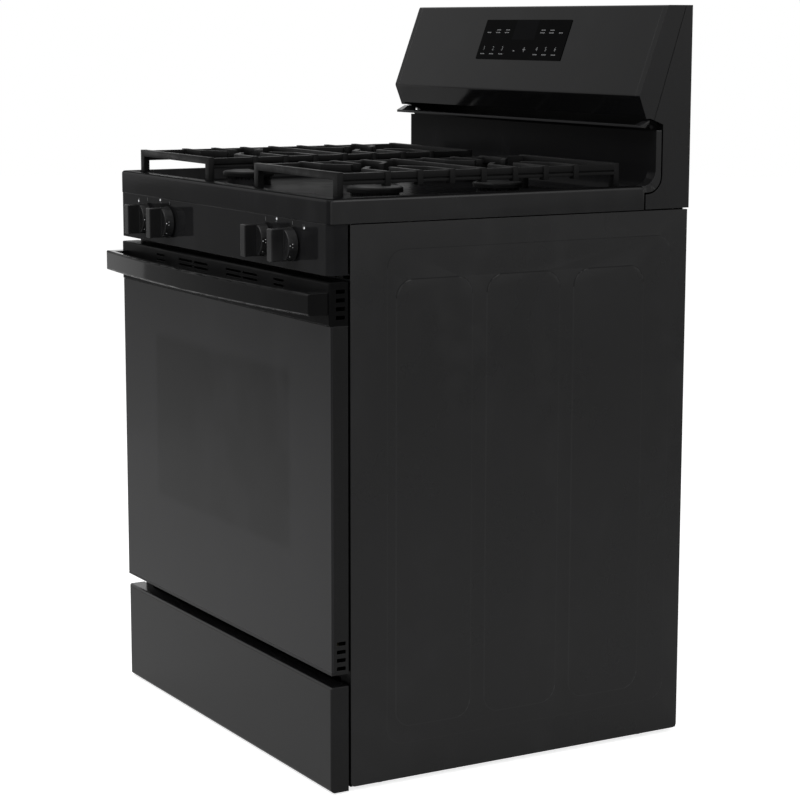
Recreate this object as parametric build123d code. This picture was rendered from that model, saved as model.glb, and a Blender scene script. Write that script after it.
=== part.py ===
from build123d import *
import math
import os

# Overall size of the range, in millimetres
RANGE_WIDTH = 760.0
RANGE_DEPTH = 702.0
COOKTOP_HEIGHT = 902.0
BACKGUARD_HEIGHT = 281.0
TOE_GAP = 3.0

# Sheet thicknesses and clearances shared by many pieces
SHEET = 1.5
FRAME_SHEET = 2.0
SEAT_GAP = 0.3
RUN_FIT = 0.05
FRONT_GAP = 4.0
SIDE_SEAM = 2.0

# Fronts: heights up the face and depths
DRAWER_FRONT_HEIGHT = 165.0
DRAWER_DOOR_GAP = 19.0
DOOR_PANEL_GAP = 9.5
CONTROL_PANEL_HEIGHT = 75.5
COOKTOP_SKIRT = 37.0
HANDLE_REACH = 55.0
DOOR_DEPTH = 29.0
PANEL_PROUD = 3.0

# Places that follow from the sizes above
HALF = RANGE_WIDTH / 2
REAR = RANGE_DEPTH / 2
RANGE_HEIGHT = COOKTOP_HEIGHT + BACKGUARD_HEIGHT
DOOR_FACE = HANDLE_REACH - RANGE_DEPTH / 2
DOOR_BACK = DOOR_FACE + DOOR_DEPTH
BODY_FRONT = DOOR_BACK + FRONT_GAP
BODY_REAR = REAR - SHEET
FRAME_BACK = BODY_FRONT + FRAME_SHEET
PANEL_FACE = DOOR_FACE - PANEL_PROUD
FRONT_HALF = HALF - SIDE_SEAM
DRAWER_TOP = TOE_GAP + DRAWER_FRONT_HEIGHT
DOOR_BOTTOM = DRAWER_TOP + DRAWER_DOOR_GAP
SKIRT_BOTTOM = COOKTOP_HEIGHT - COOKTOP_SKIRT
PANEL_BOTTOM = SKIRT_BOTTOM - CONTROL_PANEL_HEIGHT
DOOR_TOP = PANEL_BOTTOM - DOOR_PANEL_GAP

# Side panels with three raised fields
SIDE_EMBOSS = 1.5
SIDE_TOP_SEAM = 2.0
SIDE_BOTTOM_STEP = 5.0
SIDE_CORNER = 7.0
SIDE_FLANGE = 22.0
FIELD_COUNT = 3
FIELD_WIDTH = 135.0
FIELD_PITCH = 159.0
FIELD_FRONT_STEP = 144.0
FIELD_TOP_MARGIN = 84.0
FIELD_BOTTOM_MARGIN = 81.0
FIELD_CORNER = 28.0
FIELD_SLOPE = 60.0
BORDER_RISE = 0.5
BORDER_FRONT_STEP = 62.0
BORDER_REAR_MARGIN = 30.5
BORDER_TOP_MARGIN = 39.0
BORDER_BOTTOM_MARGIN = 55.0
SIDE_OUTER = HALF - SIDE_EMBOSS
SIDE_INNER = SIDE_OUTER - SHEET
SIDE_BOTTOM = TOE_GAP + SIDE_BOTTOM_STEP
SIDE_TOP = SKIRT_BOTTOM - SIDE_TOP_SEAM

# Oven space
OVEN_SIDE_SPACE = 80.0
OVEN_BASE_STEP = 58.0
OVEN_TOP_STEP = 107.0
OVEN_REAR_SPACE = 124.5
LINER_SHEET = 1.2
LINER_FLANGE = 16.0
FLOOR_LAND = 35.0
FLOOR_SHEET = 1.5
FLOOR_EDGE_GAP = 3.0
FLOOR_SLOT_COUNT = 6
FLOOR_SLOT_MARGIN = 24.0
FLOOR_SLOT_RIB = 20.0
FLOOR_SLOT_WIDTH = 7.0
FLOOR_SLOT_INSET = 52.0
LEDGE_REACH = 12.0
LEDGE_THICK = 6.0
LEDGE_COUNT = 5
LEDGE_BASE_STEP = 68.0
LEDGE_PITCH = 60.0
LEDGE_END_GAP = 16.0
INSULATION = 40.0
OVEN_HALF = HALF - OVEN_SIDE_SPACE
OVEN_BASE = DOOR_BOTTOM + OVEN_BASE_STEP
OVEN_TOP = DOOR_TOP - OVEN_TOP_STEP
OVEN_REAR = BODY_REAR - OVEN_REAR_SPACE
LINER_HALF = OVEN_HALF + LINER_SHEET
LINER_TOP = OVEN_TOP + LINER_SHEET
LINER_UNDER = OVEN_BASE - LINER_SHEET
LINER_BACK = OVEN_REAR + LINER_SHEET
WRAP_BACK = LINER_BACK + SEAT_GAP + INSULATION
WRAP_TOP = LINER_TOP + SEAT_GAP + INSULATION

# Oven racks
LOWER_RACK_LEDGE_COUNT = 1
UPPER_RACK_LEDGE_COUNT = 3
RACK_SIDE_GAP = 4.0
RACK_FRONT_GAP = 5.0
RACK_REAR_GAP = 25.0
RACK_CORNER = 18.0
RACK_ROD = 6.0
RACK_WIRE = 4.0
RACK_WIRES = 13

# Front frame openings
BAY_STILE = 30.0
BAY_TOP_STEP = 5.0
VALVE_STILE_INSET = 37.0
STILE_WIDTH = 16.0
FRAME_TOP_RAIL = 3.0
BAY_HALF = SIDE_INNER - BAY_STILE
VALVE_BAY_HALF = SIDE_INNER - VALVE_STILE_INSET

# Burner box below the oven floor, oven burners and fittings
BOX_SIDE_INSET = 10.0
BOX_FRONT_GAP = 26.0
BOX_REAR_GAP = 4.0
BOX_HEIGHT = 54.0
BAKE_FRONT_GAP = 47.0
BAKE_WIDTH = 90.0
BAKE_HEIGHT = 22.0
BAKE_EDGE = 5.5
BAKE_FOOT = 12.5
BAKE_FOOT_WIDTH = 12.0
BAKE_FOOT_INSET = 11.0
VENTURI = 24.0
VENTURI_LAP = 24.0
VENTURI_END = 33.0
VENTURI_CLEAR = 2.0
BROIL_FRONT_GAP = 89.0
BROIL_SIDE_GAP = 100.0
BROIL_HEIGHT = 16.0
BROIL_HANGER = 14.0
BURNER_REAR_GAP = 45.0
IGNITER_WIDTH = 12.0
IGNITER_LENGTH = 60.0
IGNITER_INSET = 60.0
LAMP_X = 210.0
LAMP_DROP = 70.0
LAMP_DIAMETER = 46.0
LAMP_DEPTH = 20.0
LAMP_EDGE = 7.5
LAMP_FLANGE = 6.0
LAMP_FLANGE_THICK = 4.0
PROBE_X = -200.0
PROBE_DROP = 50.0
PROBE_DIAMETER = 6.0
PROBE_LENGTH = 110.0
PROBE_FLANGE = 22.0
PROBE_FLANGE_THICK = 3.0

# Flue from the oven roof to the vent under the console
FLUE_WIDTH = 120.0
FLUE_DEPTH = 24.0
FLUE_INSET = 33.0
FLUE_RISE = 52.0
FLUE_UPPER = 158.0
FLUE_REAR_GAP = 28.0
FLUE_TOP_GAP = 4.0

# Cooktop, its well and the riser behind it
COOKTOP_SHEET = 2.0
SKIRT_SHEET = 2.0
RIM_WIDTH = 22.0
WELL_DEPTH = 19.0
WELL_CORNER = 8.0
COOKTOP_CORNER = 10.0
COOKTOP_EDGE = 5.0
RISER_INSET = 66.0
RISER_STRIP = 10.0
RISER_CURVE = 25.0
RISER_RISE = 95.0
LIP_REACH = 30.0
LIP_SHEET = 4.0
LIP_CURVE = 6.0
LIP_NOTCH = 14.0
LIP_NOTCH_STEP = 8.0
LIP_NOTCH_DROP = 8.0
LIP_TAB_REACH = 16.0
LIP_TAB_RISE = 8.0
LIP_END_WALL = 3.0
SKIRT_REAR_INSET = 87.5
WELL_FLOOR = COOKTOP_HEIGHT - WELL_DEPTH
WELL_UNDER = WELL_FLOOR - COOKTOP_SHEET
RISER_FACE = REAR - RISER_INSET
RISER_BACK = RISER_FACE + RISER_STRIP
RISER_TOP = COOKTOP_HEIGHT + RISER_RISE
SKIRT_REAR = REAR - SKIRT_REAR_INSET

# Grates
GRATE_INNER = 82.0
GRATE_SIDE_GAP = 4.0
GRATE_FRONT_INSET = 28.0
GRATE_REAR_GAP = 27.0
GRATE_HEIGHT = 36.0
RAIL_WIDTH = 10.0
RAIL_HEIGHT = 14.0
RAIL_DROP = 4.0
END_RAIL_HEIGHT = 11.0
RAIL_GROOVE = 2.5
RAIL_GROOVE_DROP = 7.0
RAIL_GROOVE_DEPTH = 4.0
FINGER_WIDTH = 8.0
FINGER_HEIGHT = 11.0
FINGER_PITCH = 56.0
FINGER_REACH = 86.0
STUB_REACH = 70.0
DIAGONAL_GAP = 26.0
TAB_WIDTH = 9.0
TAB_HEIGHT = 22.0
TAB_PROUD = 3.0
LEG_WIDTH = 14.0
GRATE_TOP = COOKTOP_HEIGHT + GRATE_HEIGHT
GRATE_OUTER = HALF - RIM_WIDTH - GRATE_SIDE_GAP
GRATE_FRONT = PANEL_FACE + GRATE_FRONT_INSET
GRATE_BACK = RISER_FACE - RISER_CURVE - GRATE_REAR_GAP

# Top burners
BURNER_FRONT_STEP = 140.0
BURNER_REAR_STEP = 139.0
FRONT_CAP = 88.0
REAR_CAP = 80.0
CAP_OVERHANG = 6.0
CAP_THICK = 8.5
CAP_EDGE = 3.5
HEAD_HEIGHT = 14.0
PORT_COUNT = 24
PORT_WIDTH = 2.0
PORT_HEIGHT = 5.0
PORT_DEPTH = 5.0
THROAT = 36.0
THROAT_LENGTH = 35.0
THROAT_CLEAR = 0.5
SPARK_DIAMETER = 5.0
SPARK_CLEAR = 0.3
SPARK_TOP_GAP = 3.0
SPARK_LENGTH = 30.0
SPARK_OUT = 4.0
BURNER_X = (GRATE_INNER + GRATE_OUTER) / 2
FRONT_BURNER = GRATE_FRONT + BURNER_FRONT_STEP
REAR_BURNER = GRATE_BACK - BURNER_REAR_STEP

# Control panel, knobs and gas valves
PANEL_SHEET = 2.0
PANEL_CORNER = 10.0
PANEL_SEAM = 4.0
KNOB_END = 113.0
KNOB_PITCH = 89.0
KNOB_BELOW_TOP = 37.5
KNOB_DIAMETER = 52.0
KNOB_SKIRT = 15.0
KNOB_TAPER = 2.0
KNOB_BLADE = 16.0
KNOB_PROJECTION = 39.7
KNOB_STANDOFF = 4.0
KNOB_EDGE = 1.5
KNOB_BORE_DEPTH = 24.0
STEM_DIAMETER = 8.0
STEM_FLAT = 2.0
STEM_INTO_KNOB = 19.0
STEM_INTO_VALVE = 14.0
STEM_HOLE = 14.0
VALVE_WIDTH = 26.0
VALVE_DEPTH = 24.0
VALVE_HEIGHT = 28.0
MANIFOLD = 20.0
MANIFOLD_LAP = 5.0
KNOB_HEIGHT = SKIRT_BOTTOM - KNOB_BELOW_TOP
KNOB_OUTER = FRONT_HALF - KNOB_END
KNOB_INNER = KNOB_OUTER - KNOB_PITCH

# Gas supply at the rear
REGULATOR_SIDE_GAP = 19.5
REGULATOR_HEIGHT = 120.0
REGULATOR_WIDTH = 60.0
REGULATOR_DEPTH = 40.0
REGULATOR_BONNET = 44.0
REGULATOR_BONNET_DEPTH = 18.0
INLET_BOSS = 34.0
INLET_BORE = 18.4
INLET_DEPTH = 20.0
INLET_CLEAR = 3.0
SUPPLY_PIPE = 16.0
SUPPLY_BEND = 32.0
GAS_TUBE = 8.0
TUBE_BEND = 16.0
TUBE_NECK = 1.5
TUBE_TIGHT_BEND = 10.0
TUBE_JOG = 54.0
TUBE_LEAD = 18.0
OVEN_VALVE_X = 300.0
OVEN_VALVE_WIDTH = 60.0
OVEN_VALVE_HEIGHT = 50.0
OVEN_VALVE_DEPTH = 40.0
OVEN_VALVE_TOP_GAP = 62.0
OVEN_TUBE_SPACING = 20.0
SPARK_BOX = (90.0, 36.0, 60.0)
SPARK_BOX_X = 200.0
SPARK_BOX_GAP = 44.0

# Backguard console
END_CAP = 12.0
KNEE_INSET = 100.0
KNEE_RISE = 36.0
CONSOLE_TOP_INSET = 48.0
CONSOLE_LOW_INSET = 86.0
CONSOLE_VENT = 10.0
CONSOLE_EDGE_RISE = 4.0
CONSOLE_SHEET = 2.5
KNEE_RADIUS = 6.0
CONSOLE_TOP_RADIUS = 4.0
CAP_NOSE_INSET = 77.0
CAP_SEAM = 3.0
CAP_GROOVE = 1.5
CAP_GROOVE_DEPTH = 1.2
CAP_GROOVE_FOOT_INSET = 74.0
CAP_GROOVE_TOP_INSET = 13.0
CAP_BOTTOM_STEP = 0.5
TOUCH_WIDTH = 262.0
TOUCH_HEIGHT = 71.5
TOUCH_THICK = 1.0
TOUCH_TOP_GAP = 24.6
TOUCH_CORNER = 2.0
BOARD_WIDTH = 236.0
BOARD_HEIGHT = 58.0
BOARD_THICK = 1.6
BOARD_STANDOFF = 8.0
BOARD_POST = 6.0
BOARD_POST_INSET = 6.0
REAR_PANEL_LAP = 78.0
REAR_PANEL_LAP_INSET = 13.0
CONSOLE_LOW_HEIGHT = RISER_TOP + CONSOLE_VENT
KNEE_HEIGHT = CONSOLE_LOW_HEIGHT + KNEE_RISE

# Rear panel fittings
SCREW_HEAD = 9.0
SCREW_HEAD_THICK = 1.4
SCREW_SHANK = 4.0
SCREW_LENGTH = 8.0
SCREW_CLEAR = 0.2
SCREW_ROWS = 5
SCREW_EDGE = 11.0
SCREW_END = 40.0
LOUVRE_COUNT = 7
LOUVRE_WIDTH = 64.0
LOUVRE_HEIGHT = 6.0
LOUVRE_PITCH = 84.0
LOUVRE_DROP = 30.0
CORD_SIDE_GAP = 29.5
CORD_HEIGHT = 120.0
CORD_BORE = 14.0
BUSHING_BODY = 22.0
BUSHING_FLANGE = 30.0
BUSHING_DEPTH = 7.0
BUSHING_CLEAR = 0.3

# Base frame, feet and drawer
BASE_WEB = 2.0
BASE_HEIGHT = 95.0
BASE_REAR_RAIL = 30.0
RAIL_TO_BOX = 3.0
DRAWER_SIDE_SPACE = 65.0
DRAWER_REAR_SPACE = 101.5
DRAWER_FLOOR_STEP = 12.0
DRAWER_SIDE = 118.0
DRAWER_FRONT_SHEET = 2.0
DRAWER_FRONT_EDGE = 5.0
DRAWER_RIB_INSET = 25.0
DRAWER_RIB = 3.0
RUNNER_HEIGHT = 20.0
RUNNER_BOTTOM_STEP = 58.0
RUNNER_WIDTH = 12.0
RUNNER_REAR_GAP = 18.0
RUNNER_FRONT_GAP = 17.0
SLIDE_SHEET = 2.0
SLIDE_GAP = 0.5
FOOT_DIAMETER = 20.0
FOOT_HEIGHT = 6.0
FOOT_STUD = 10.0
FOOT_STUD_LENGTH = 37.0
FOOT_BOSS = 24.0
FOOT_BOSS_HEIGHT = 26.0
FOOT_SIDE_INSET = 31.0
FOOT_FRONT_INSET = 62.0
FOOT_REAR_INSET = 62.0
DRAWER_HALF = HALF - DRAWER_SIDE_SPACE
DRAWER_BACK = BODY_REAR - DRAWER_REAR_SPACE
BASE_INNER = DRAWER_HALF + RUNNER_WIDTH + SLIDE_GAP + SLIDE_SHEET
SUPPLY_X = REGULATOR_SIDE_GAP + REGULATOR_WIDTH / 2 - BASE_INNER
CORD_X = BASE_INNER - CORD_SIDE_GAP

# Oven door
GLASS = 4.0
GLASS_LIP = 5.0
DOOR_SHEET = 2.0
DOOR_STILE = 26.0
TRIM_HEIGHT = 65.0
TRIM_PROUD = 2.0
TRIM_SHEET = 2.5
TRIM_EDGE = 3.0
SLOT_COUNT = 4
SLOT_PITCH = 12.8
SLOT_WIDTH = 15.0
SLOT_HEIGHT = 6.0
SLOT_END = 14.0
SLOT_END_LOWER = 9.5
VENT_ROWS = 3
VENT_ROW_PITCH = 8.0
VENT_ROW_TOP = 9.0
VENT_HEIGHT = 4.0
VENT_GROUPS = {60.0: 52.0, 118.0: 52.0, 216.0: 33.0}
LINER_INSET = 18.0
PLUG_SIDE_GAP = 15.0
PLUG_DEPTH = 20.5
PLUG_CORNER = 20.0
WINDOW_SIDE_MARGIN = 38.0
WINDOW_LOW_MARGIN = 95.0
WINDOW_HIGH_MARGIN = 25.0
INNER_GLASS_LAP = 12.0
PAD_GAP = 3.0
HANDLE_BOW = 21.0
HANDLE_BAR = 12.0
HANDLE_HEIGHT = 33.0
HANDLE_DROP = 15.0
HANDLE_END_INSET = 4.0
HANDLE_POST = 22.0
HANDLE_EDGE = 3.0
GASKET_WIDTH = 12.0
GASKET_MARGIN = 4.0
TRIM_BOTTOM = DOOR_TOP - TRIM_HEIGHT
TRIM_FACE = DOOR_FACE - TRIM_PROUD
GLASS_BACK = DOOR_FACE + GLASS
LINER_PLATE_BACK = DOOR_BACK + SHEET
PLUG_BACK = LINER_PLATE_BACK + PLUG_DEPTH
PLUG_HALF = OVEN_HALF - PLUG_SIDE_GAP
PLUG_BOTTOM = OVEN_BASE + PLUG_SIDE_GAP
PLUG_TOP = OVEN_TOP - PLUG_SIDE_GAP
WINDOW_HALF = PLUG_HALF - WINDOW_SIDE_MARGIN
WINDOW_BOTTOM = PLUG_BOTTOM + WINDOW_LOW_MARGIN
WINDOW_TOP = PLUG_TOP - WINDOW_HIGH_MARGIN

# Door hinges
HINGE_INSET = 43.0
HINGE_Y_STEP = 19.0
HINGE_Z_STEP = 6.0
HINGE_PIN = 8.0
HINGE_ARM = 6.0
HINGE_ARM_HEIGHT = 14.0
HINGE_ARM_TAIL = 24.0
HINGE_HOOK = 10.0
HINGE_CHEEK = 8.0
HINGE_CHEEK_GAP = 0.5
HINGE_CHEEK_HEIGHT = 30.0
HINGE_SLOT_SIDE = 2.0
HINGE_X = FRONT_HALF - HINGE_INSET
HINGE_Y = DOOR_FACE + HINGE_Y_STEP
HINGE_Z = DOOR_BOTTOM + HINGE_Z_STEP

CUT = 1.0
BOTH = (-1, 1)


def slab(x, y, z):
    """Box between pairs of limits."""
    limits = (x, y, z)
    size = [high - low for low, high in limits]
    middle = [(high + low) / 2 for low, high in limits]
    return Pos(*middle) * Box(*size)


def mirrored(low, high, side):
    """The limits low to high on the right, or their mirror on the left."""
    return (low, high) if side > 0 else (-high, -low)


def rod_y(x, z, diameter, y):
    """Cylinder along Y between two limits."""
    middle = Pos(x, (y[0] + y[1]) / 2, z)
    return middle * Rot(90, 0, 0) * Cylinder(diameter / 2, y[1] - y[0])


def rod_x(y, z, diameter, x):
    """Cylinder along X between two limits."""
    middle = Pos((x[0] + x[1]) / 2, y, z)
    return middle * Rot(0, 90, 0) * Cylinder(diameter / 2, x[1] - x[0])


def rod_z(x, y, diameter, z):
    """Cylinder along Z between two limits."""
    return Pos(x, y, (z[0] + z[1]) / 2) * Cylinder(diameter / 2, z[1] - z[0])


def across(points, x, radii=0.0):
    """Side outline, given as (y, z) corners, carried across the range from x[0] to x[1]."""
    corners = [(x[0], y, z) for y, z in points]
    outline = FilletPolyline(*corners, radius=radii, close=True)
    return extrude(make_face(outline), x[1] - x[0], dir=(1, 0, 0))


def bent(points, thickness):
    """Side outline of a sheet that follows a run of (y, z) corners, thickened to its right."""
    shifted = []
    last = len(points) - 1
    for index, (y, z) in enumerate(points):
        normals = []
        for start in (index - 1, index):
            if 0 <= start < last:
                run_y = points[start + 1][0] - points[start][0]
                run_z = points[start + 1][1] - points[start][1]
                length = math.hypot(run_y, run_z)
                normals.append((run_z / length, -run_y / length))
        sum_y = sum(normal[0] for normal in normals)
        sum_z = sum(normal[1] for normal in normals)
        scale = thickness * len(normals) / (sum_y ** 2 + sum_z ** 2)
        shifted.append((y + sum_y * scale, z + sum_z * scale))
    return list(points) + shifted[::-1]


def tube(points, diameter, bend):
    """Round tube along straight runs joined by arcs."""
    path = FilletPolyline(*points, radius=bend)
    section = Plane(origin=path @ 0, z_dir=path % 0) * Circle(diameter / 2)
    return sweep(section, path=path)


def group(solids):
    """Separate solids kept in one node."""
    return Compound(children=list(solids))


def knob_places():
    """Knob centres across the panel, by name."""
    return {
        "left_outer": -KNOB_OUTER,
        "left_inner": -KNOB_INNER,
        "right_inner": KNOB_INNER,
        "right_outer": KNOB_OUTER,
    }


def burner_places():
    """Top burner centres with their cap diameters."""
    front = [(side * BURNER_X, FRONT_BURNER, FRONT_CAP) for side in BOTH]
    rear = [(side * BURNER_X, REAR_BURNER, REAR_CAP) for side in BOTH]
    return front + rear


def spark_place(x, y, cap):
    """Spark electrode beside a burner head, towards the middle of the range."""
    reach = cap / 2 - CAP_OVERHANG + SPARK_OUT
    return x - math.copysign(reach, x), y


def side_panel(side):
    """Outer side sheet, flanged inward at the top, with a low border step and three raised fields."""
    sheet = slab(mirrored(SIDE_INNER, SIDE_OUTER, side), (BODY_FRONT, BODY_REAR), (SIDE_BOTTOM, SIDE_TOP))
    sheet = fillet(sheet.edges().filter_by(Axis.X).group_by(Axis.Z)[0], SIDE_CORNER)
    run = (FRAME_BACK + SEAT_GAP, BODY_REAR - SHEET - SEAT_GAP)
    sheet += slab(mirrored(SIDE_INNER - SIDE_FLANGE, SIDE_INNER, side), run, (SIDE_TOP - SHEET, SIDE_TOP))
    run = (BODY_FRONT + BORDER_FRONT_STEP, BODY_REAR - BORDER_REAR_MARGIN)
    height = (SIDE_BOTTOM + BORDER_BOTTOM_MARGIN, SIDE_TOP - BORDER_TOP_MARGIN)
    sheet += pressed(side, 0.0, BORDER_RISE, run, height)
    height = (SIDE_BOTTOM + FIELD_BOTTOM_MARGIN, SIDE_TOP - FIELD_TOP_MARGIN)
    for index in range(FIELD_COUNT):
        y = BODY_FRONT + FIELD_FRONT_STEP + index * FIELD_PITCH
        run = (y - FIELD_WIDTH / 2, y + FIELD_WIDTH / 2)
        sheet += pressed(side, BORDER_RISE, SIDE_EMBOSS - BORDER_RISE, run, height)
    return sheet


def pressed(side, base, rise, y, z):
    """Raised area on a side sheet, with sloping edges and round corners."""
    centre = (side * (SIDE_OUTER + base), (y[0] + y[1]) / 2, (z[0] + z[1]) / 2)
    face = Plane(origin=centre, x_dir=(0, 1, 0), z_dir=(side, 0, 0))
    outline = face * RectangleRounded(y[1] - y[0], z[1] - z[0], FIELD_CORNER)
    return extrude(outline, rise, dir=(side, 0, 0), taper=FIELD_SLOPE)


def rear_screw_places():
    """Screws down both edges of the rear panel."""
    span = SIDE_TOP - SIDE_BOTTOM - 2 * SCREW_END
    heights = [SIDE_BOTTOM + SCREW_END + row * span / (SCREW_ROWS - 1) for row in range(SCREW_ROWS)]
    return [(side * (SIDE_INNER - SCREW_EDGE), z) for side in BOTH for z in heights]


def rear_panel():
    """Back sheet with an upstand into the backguard, louvres and the service holes."""
    depth = (BODY_REAR - SHEET, BODY_REAR)
    cut = (depth[0] - CUT, depth[1] + CUT)
    panel = slab((-SIDE_INNER, SIDE_INNER), depth, (SIDE_BOTTOM, SIDE_TOP))
    lap = HALF - REAR_PANEL_LAP_INSET
    panel += slab((-lap, lap), depth, (SIDE_TOP, SIDE_TOP + REAR_PANEL_LAP))
    for index in range(LOUVRE_COUNT):
        x = (index - (LOUVRE_COUNT - 1) / 2) * LOUVRE_PITCH
        z = SIDE_TOP - LOUVRE_DROP
        panel -= slab((x - LOUVRE_WIDTH / 2, x + LOUVRE_WIDTH / 2), cut, (z - LOUVRE_HEIGHT, z))
    panel -= rod_y(SUPPLY_X, REGULATOR_HEIGHT, INLET_BOSS + 2 * INLET_CLEAR, cut)
    panel -= rod_y(CORD_X, CORD_HEIGHT, BUSHING_BODY + 2 * BUSHING_CLEAR, cut)
    for x, z in rear_screw_places():
        panel -= rod_y(x, z, SCREW_SHANK + 2 * SCREW_CLEAR, cut)
    return panel


def rear_screws():
    """Pan-head screws of the rear panel."""
    screws = []
    for x, z in rear_screw_places():
        head = rod_y(x, z, SCREW_HEAD, (BODY_REAR, BODY_REAR + SCREW_HEAD_THICK))
        screws.append(head + rod_y(x, z, SCREW_SHANK, (BODY_REAR - SCREW_LENGTH, BODY_REAR)))
    return group(screws)


def cord_bushing():
    """Flanged bush that lines the power cord's hole."""
    body = rod_y(CORD_X, CORD_HEIGHT, BUSHING_BODY, (BODY_REAR - BUSHING_DEPTH, BODY_REAR))
    body += rod_y(CORD_X, CORD_HEIGHT, BUSHING_FLANGE, (BODY_REAR, BODY_REAR + SHEET))
    return body - rod_y(CORD_X, CORD_HEIGHT, CORD_BORE, (BODY_REAR - BUSHING_DEPTH - CUT, REAR + CUT))


def foot_places():
    """Levelling feet near the four corners."""
    x = HALF - FOOT_SIDE_INSET
    rows = (BODY_FRONT + FOOT_FRONT_INSET, BODY_REAR - FOOT_REAR_INSET)
    return [(side * x, y) for side in BOTH for y in rows]


def base_frame():
    """Side members with bosses for the feet, a rear cross rail, and the drawer's slides."""
    flange_top = SIDE_BOTTOM + BASE_WEB
    web_top = SIDE_BOTTOM + BASE_HEIGHT
    run = (FRAME_BACK, BODY_REAR - SHEET)
    members = []
    for side in BOTH:
        member = slab(mirrored(BASE_INNER, SIDE_INNER, side), run, (SIDE_BOTTOM, flange_top))
        web = mirrored(BASE_INNER, BASE_INNER + BASE_WEB, side)
        member += slab(web, run, (SIDE_BOTTOM, web_top))
        for x, y in foot_places():
            if x * side > 0:
                boss_top = flange_top + FOOT_BOSS_HEIGHT
                member += rod_z(x, y, FOOT_BOSS, (flange_top, boss_top))
                member -= rod_z(x, y, FOOT_STUD + 2 * RUN_FIT, (SIDE_BOTTOM - CUT, boss_top + CUT))
        members.append(member)
    rear = (BODY_REAR - SHEET - BASE_REAR_RAIL, BODY_REAR - SHEET)
    members.append(slab((-BASE_INNER, BASE_INNER), rear, (SIDE_BOTTOM, flange_top)))
    return group(members + drawer_slides())


def levelling_feet():
    """Screw feet, each a pad on a stud."""
    feet = []
    for x, y in foot_places():
        pad = rod_z(x, y, FOOT_DIAMETER, (0, FOOT_HEIGHT))
        feet.append(pad + rod_z(x, y, FOOT_STUD, (FOOT_HEIGHT, FOOT_HEIGHT + FOOT_STUD_LENGTH)))
    return group(feet)


def front_frame():
    """Face plate with the drawer bay, the oven mouth and the valve bay."""
    depth = (BODY_FRONT, FRAME_BACK)
    cut = (BODY_FRONT - CUT, FRAME_BACK + CUT)
    rail_top = DOOR_TOP + FRAME_TOP_RAIL
    frame = slab((-SIDE_INNER, SIDE_INNER), depth, (SIDE_BOTTOM, rail_top))
    frame -= slab((-BAY_HALF, BAY_HALF), cut, (SIDE_BOTTOM - CUT, DRAWER_TOP + BAY_TOP_STEP))
    frame -= slab((-OVEN_HALF, OVEN_HALF), cut, (OVEN_BASE, OVEN_TOP))
    for side in BOTH:
        stile = mirrored(VALVE_BAY_HALF, VALVE_BAY_HALF + STILE_WIDTH, side)
        frame += slab(stile, depth, (rail_top, WELL_UNDER))
        slot = mirrored(HINGE_X - HINGE_ARM / 2 - SEAT_GAP, HINGE_X + HINGE_ARM / 2 + SEAT_GAP, side)
        arm = HINGE_ARM_HEIGHT / 2
        frame -= slab(slot, cut, (HINGE_Z - arm, HINGE_Z + arm + SEAT_GAP))
    return frame


def oven_liner():
    """Enamelled wrapper of the oven: floor, back and roof in one, with a front flange."""
    run = (FRAME_BACK, LINER_BACK)
    liner = slab((-LINER_HALF, LINER_HALF), run, (LINER_UNDER, LINER_TOP))
    flange = (FRAME_BACK, FRAME_BACK + LINER_SHEET)
    reach = LINER_HALF + LINER_FLANGE
    liner += slab((-reach, reach), flange, (LINER_UNDER - LINER_FLANGE, LINER_TOP + LINER_FLANGE))
    mouth = (FRAME_BACK - CUT, OVEN_REAR)
    liner -= slab((-OVEN_HALF, OVEN_HALF), mouth, (OVEN_BASE, OVEN_TOP))
    for side in BOTH:
        wall = mirrored(OVEN_HALF - CUT, LINER_HALF + CUT, side)
        liner -= slab(wall, (FRAME_BACK + LINER_SHEET, OVEN_REAR), (OVEN_BASE, OVEN_TOP))
    floor_hole = (FRAME_BACK + FLOOR_LAND, OVEN_REAR - FLOOR_LAND)
    land = OVEN_HALF - FLOOR_LAND
    liner -= slab((-land, land), floor_hole, (LINER_UNDER - CUT, OVEN_BASE + CUT))
    liner -= flue_bore()
    return liner - rear_wall_holes(OVEN_REAR - CUT, LINER_BACK + CUT, 0.0)


def oven_side_walls():
    """Both side walls of the oven, each with its ledges for the racks."""
    walls = []
    run = (FRAME_BACK + LINER_SHEET, OVEN_REAR)
    ledge_run = (FRAME_BACK + LEDGE_END_GAP, OVEN_REAR - LEDGE_END_GAP)
    for side in BOTH:
        wall = slab(mirrored(OVEN_HALF, LINER_HALF, side), run, (OVEN_BASE, OVEN_TOP))
        for level in range(LEDGE_COUNT):
            top = ledge_top(level)
            reach_in = mirrored(OVEN_HALF - LEDGE_REACH, OVEN_HALF, side)
            wall += slab(reach_in, ledge_run, (top - LEDGE_THICK, top))
        walls.append(wall)
    return group(walls)


def ledge_top(level):
    """Height of a rack ledge's upper face."""
    return OVEN_BASE + LEDGE_BASE_STEP + level * LEDGE_PITCH


def broil_axis():
    """Height of the broil burner's inlet."""
    return OVEN_TOP - BROIL_HANGER - BROIL_HEIGHT / 2


def bake_axis():
    """Height of the bake burner's inlet."""
    return LINER_UNDER - BOX_HEIGHT + SHEET + BAKE_FOOT + BAKE_HEIGHT / 2


def rear_wall_holes(start, end, extra):
    """Holes through the oven's rear wall for the broil burner and the probe."""
    holes = rod_y(0, broil_axis(), VENTURI + 2 * (VENTURI_CLEAR + extra), (start, end))
    probe = PROBE_DIAMETER + 2 * (SEAT_GAP + extra)
    return holes + rod_y(PROBE_X, OVEN_TOP - PROBE_DROP, probe, (start, end))


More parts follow.
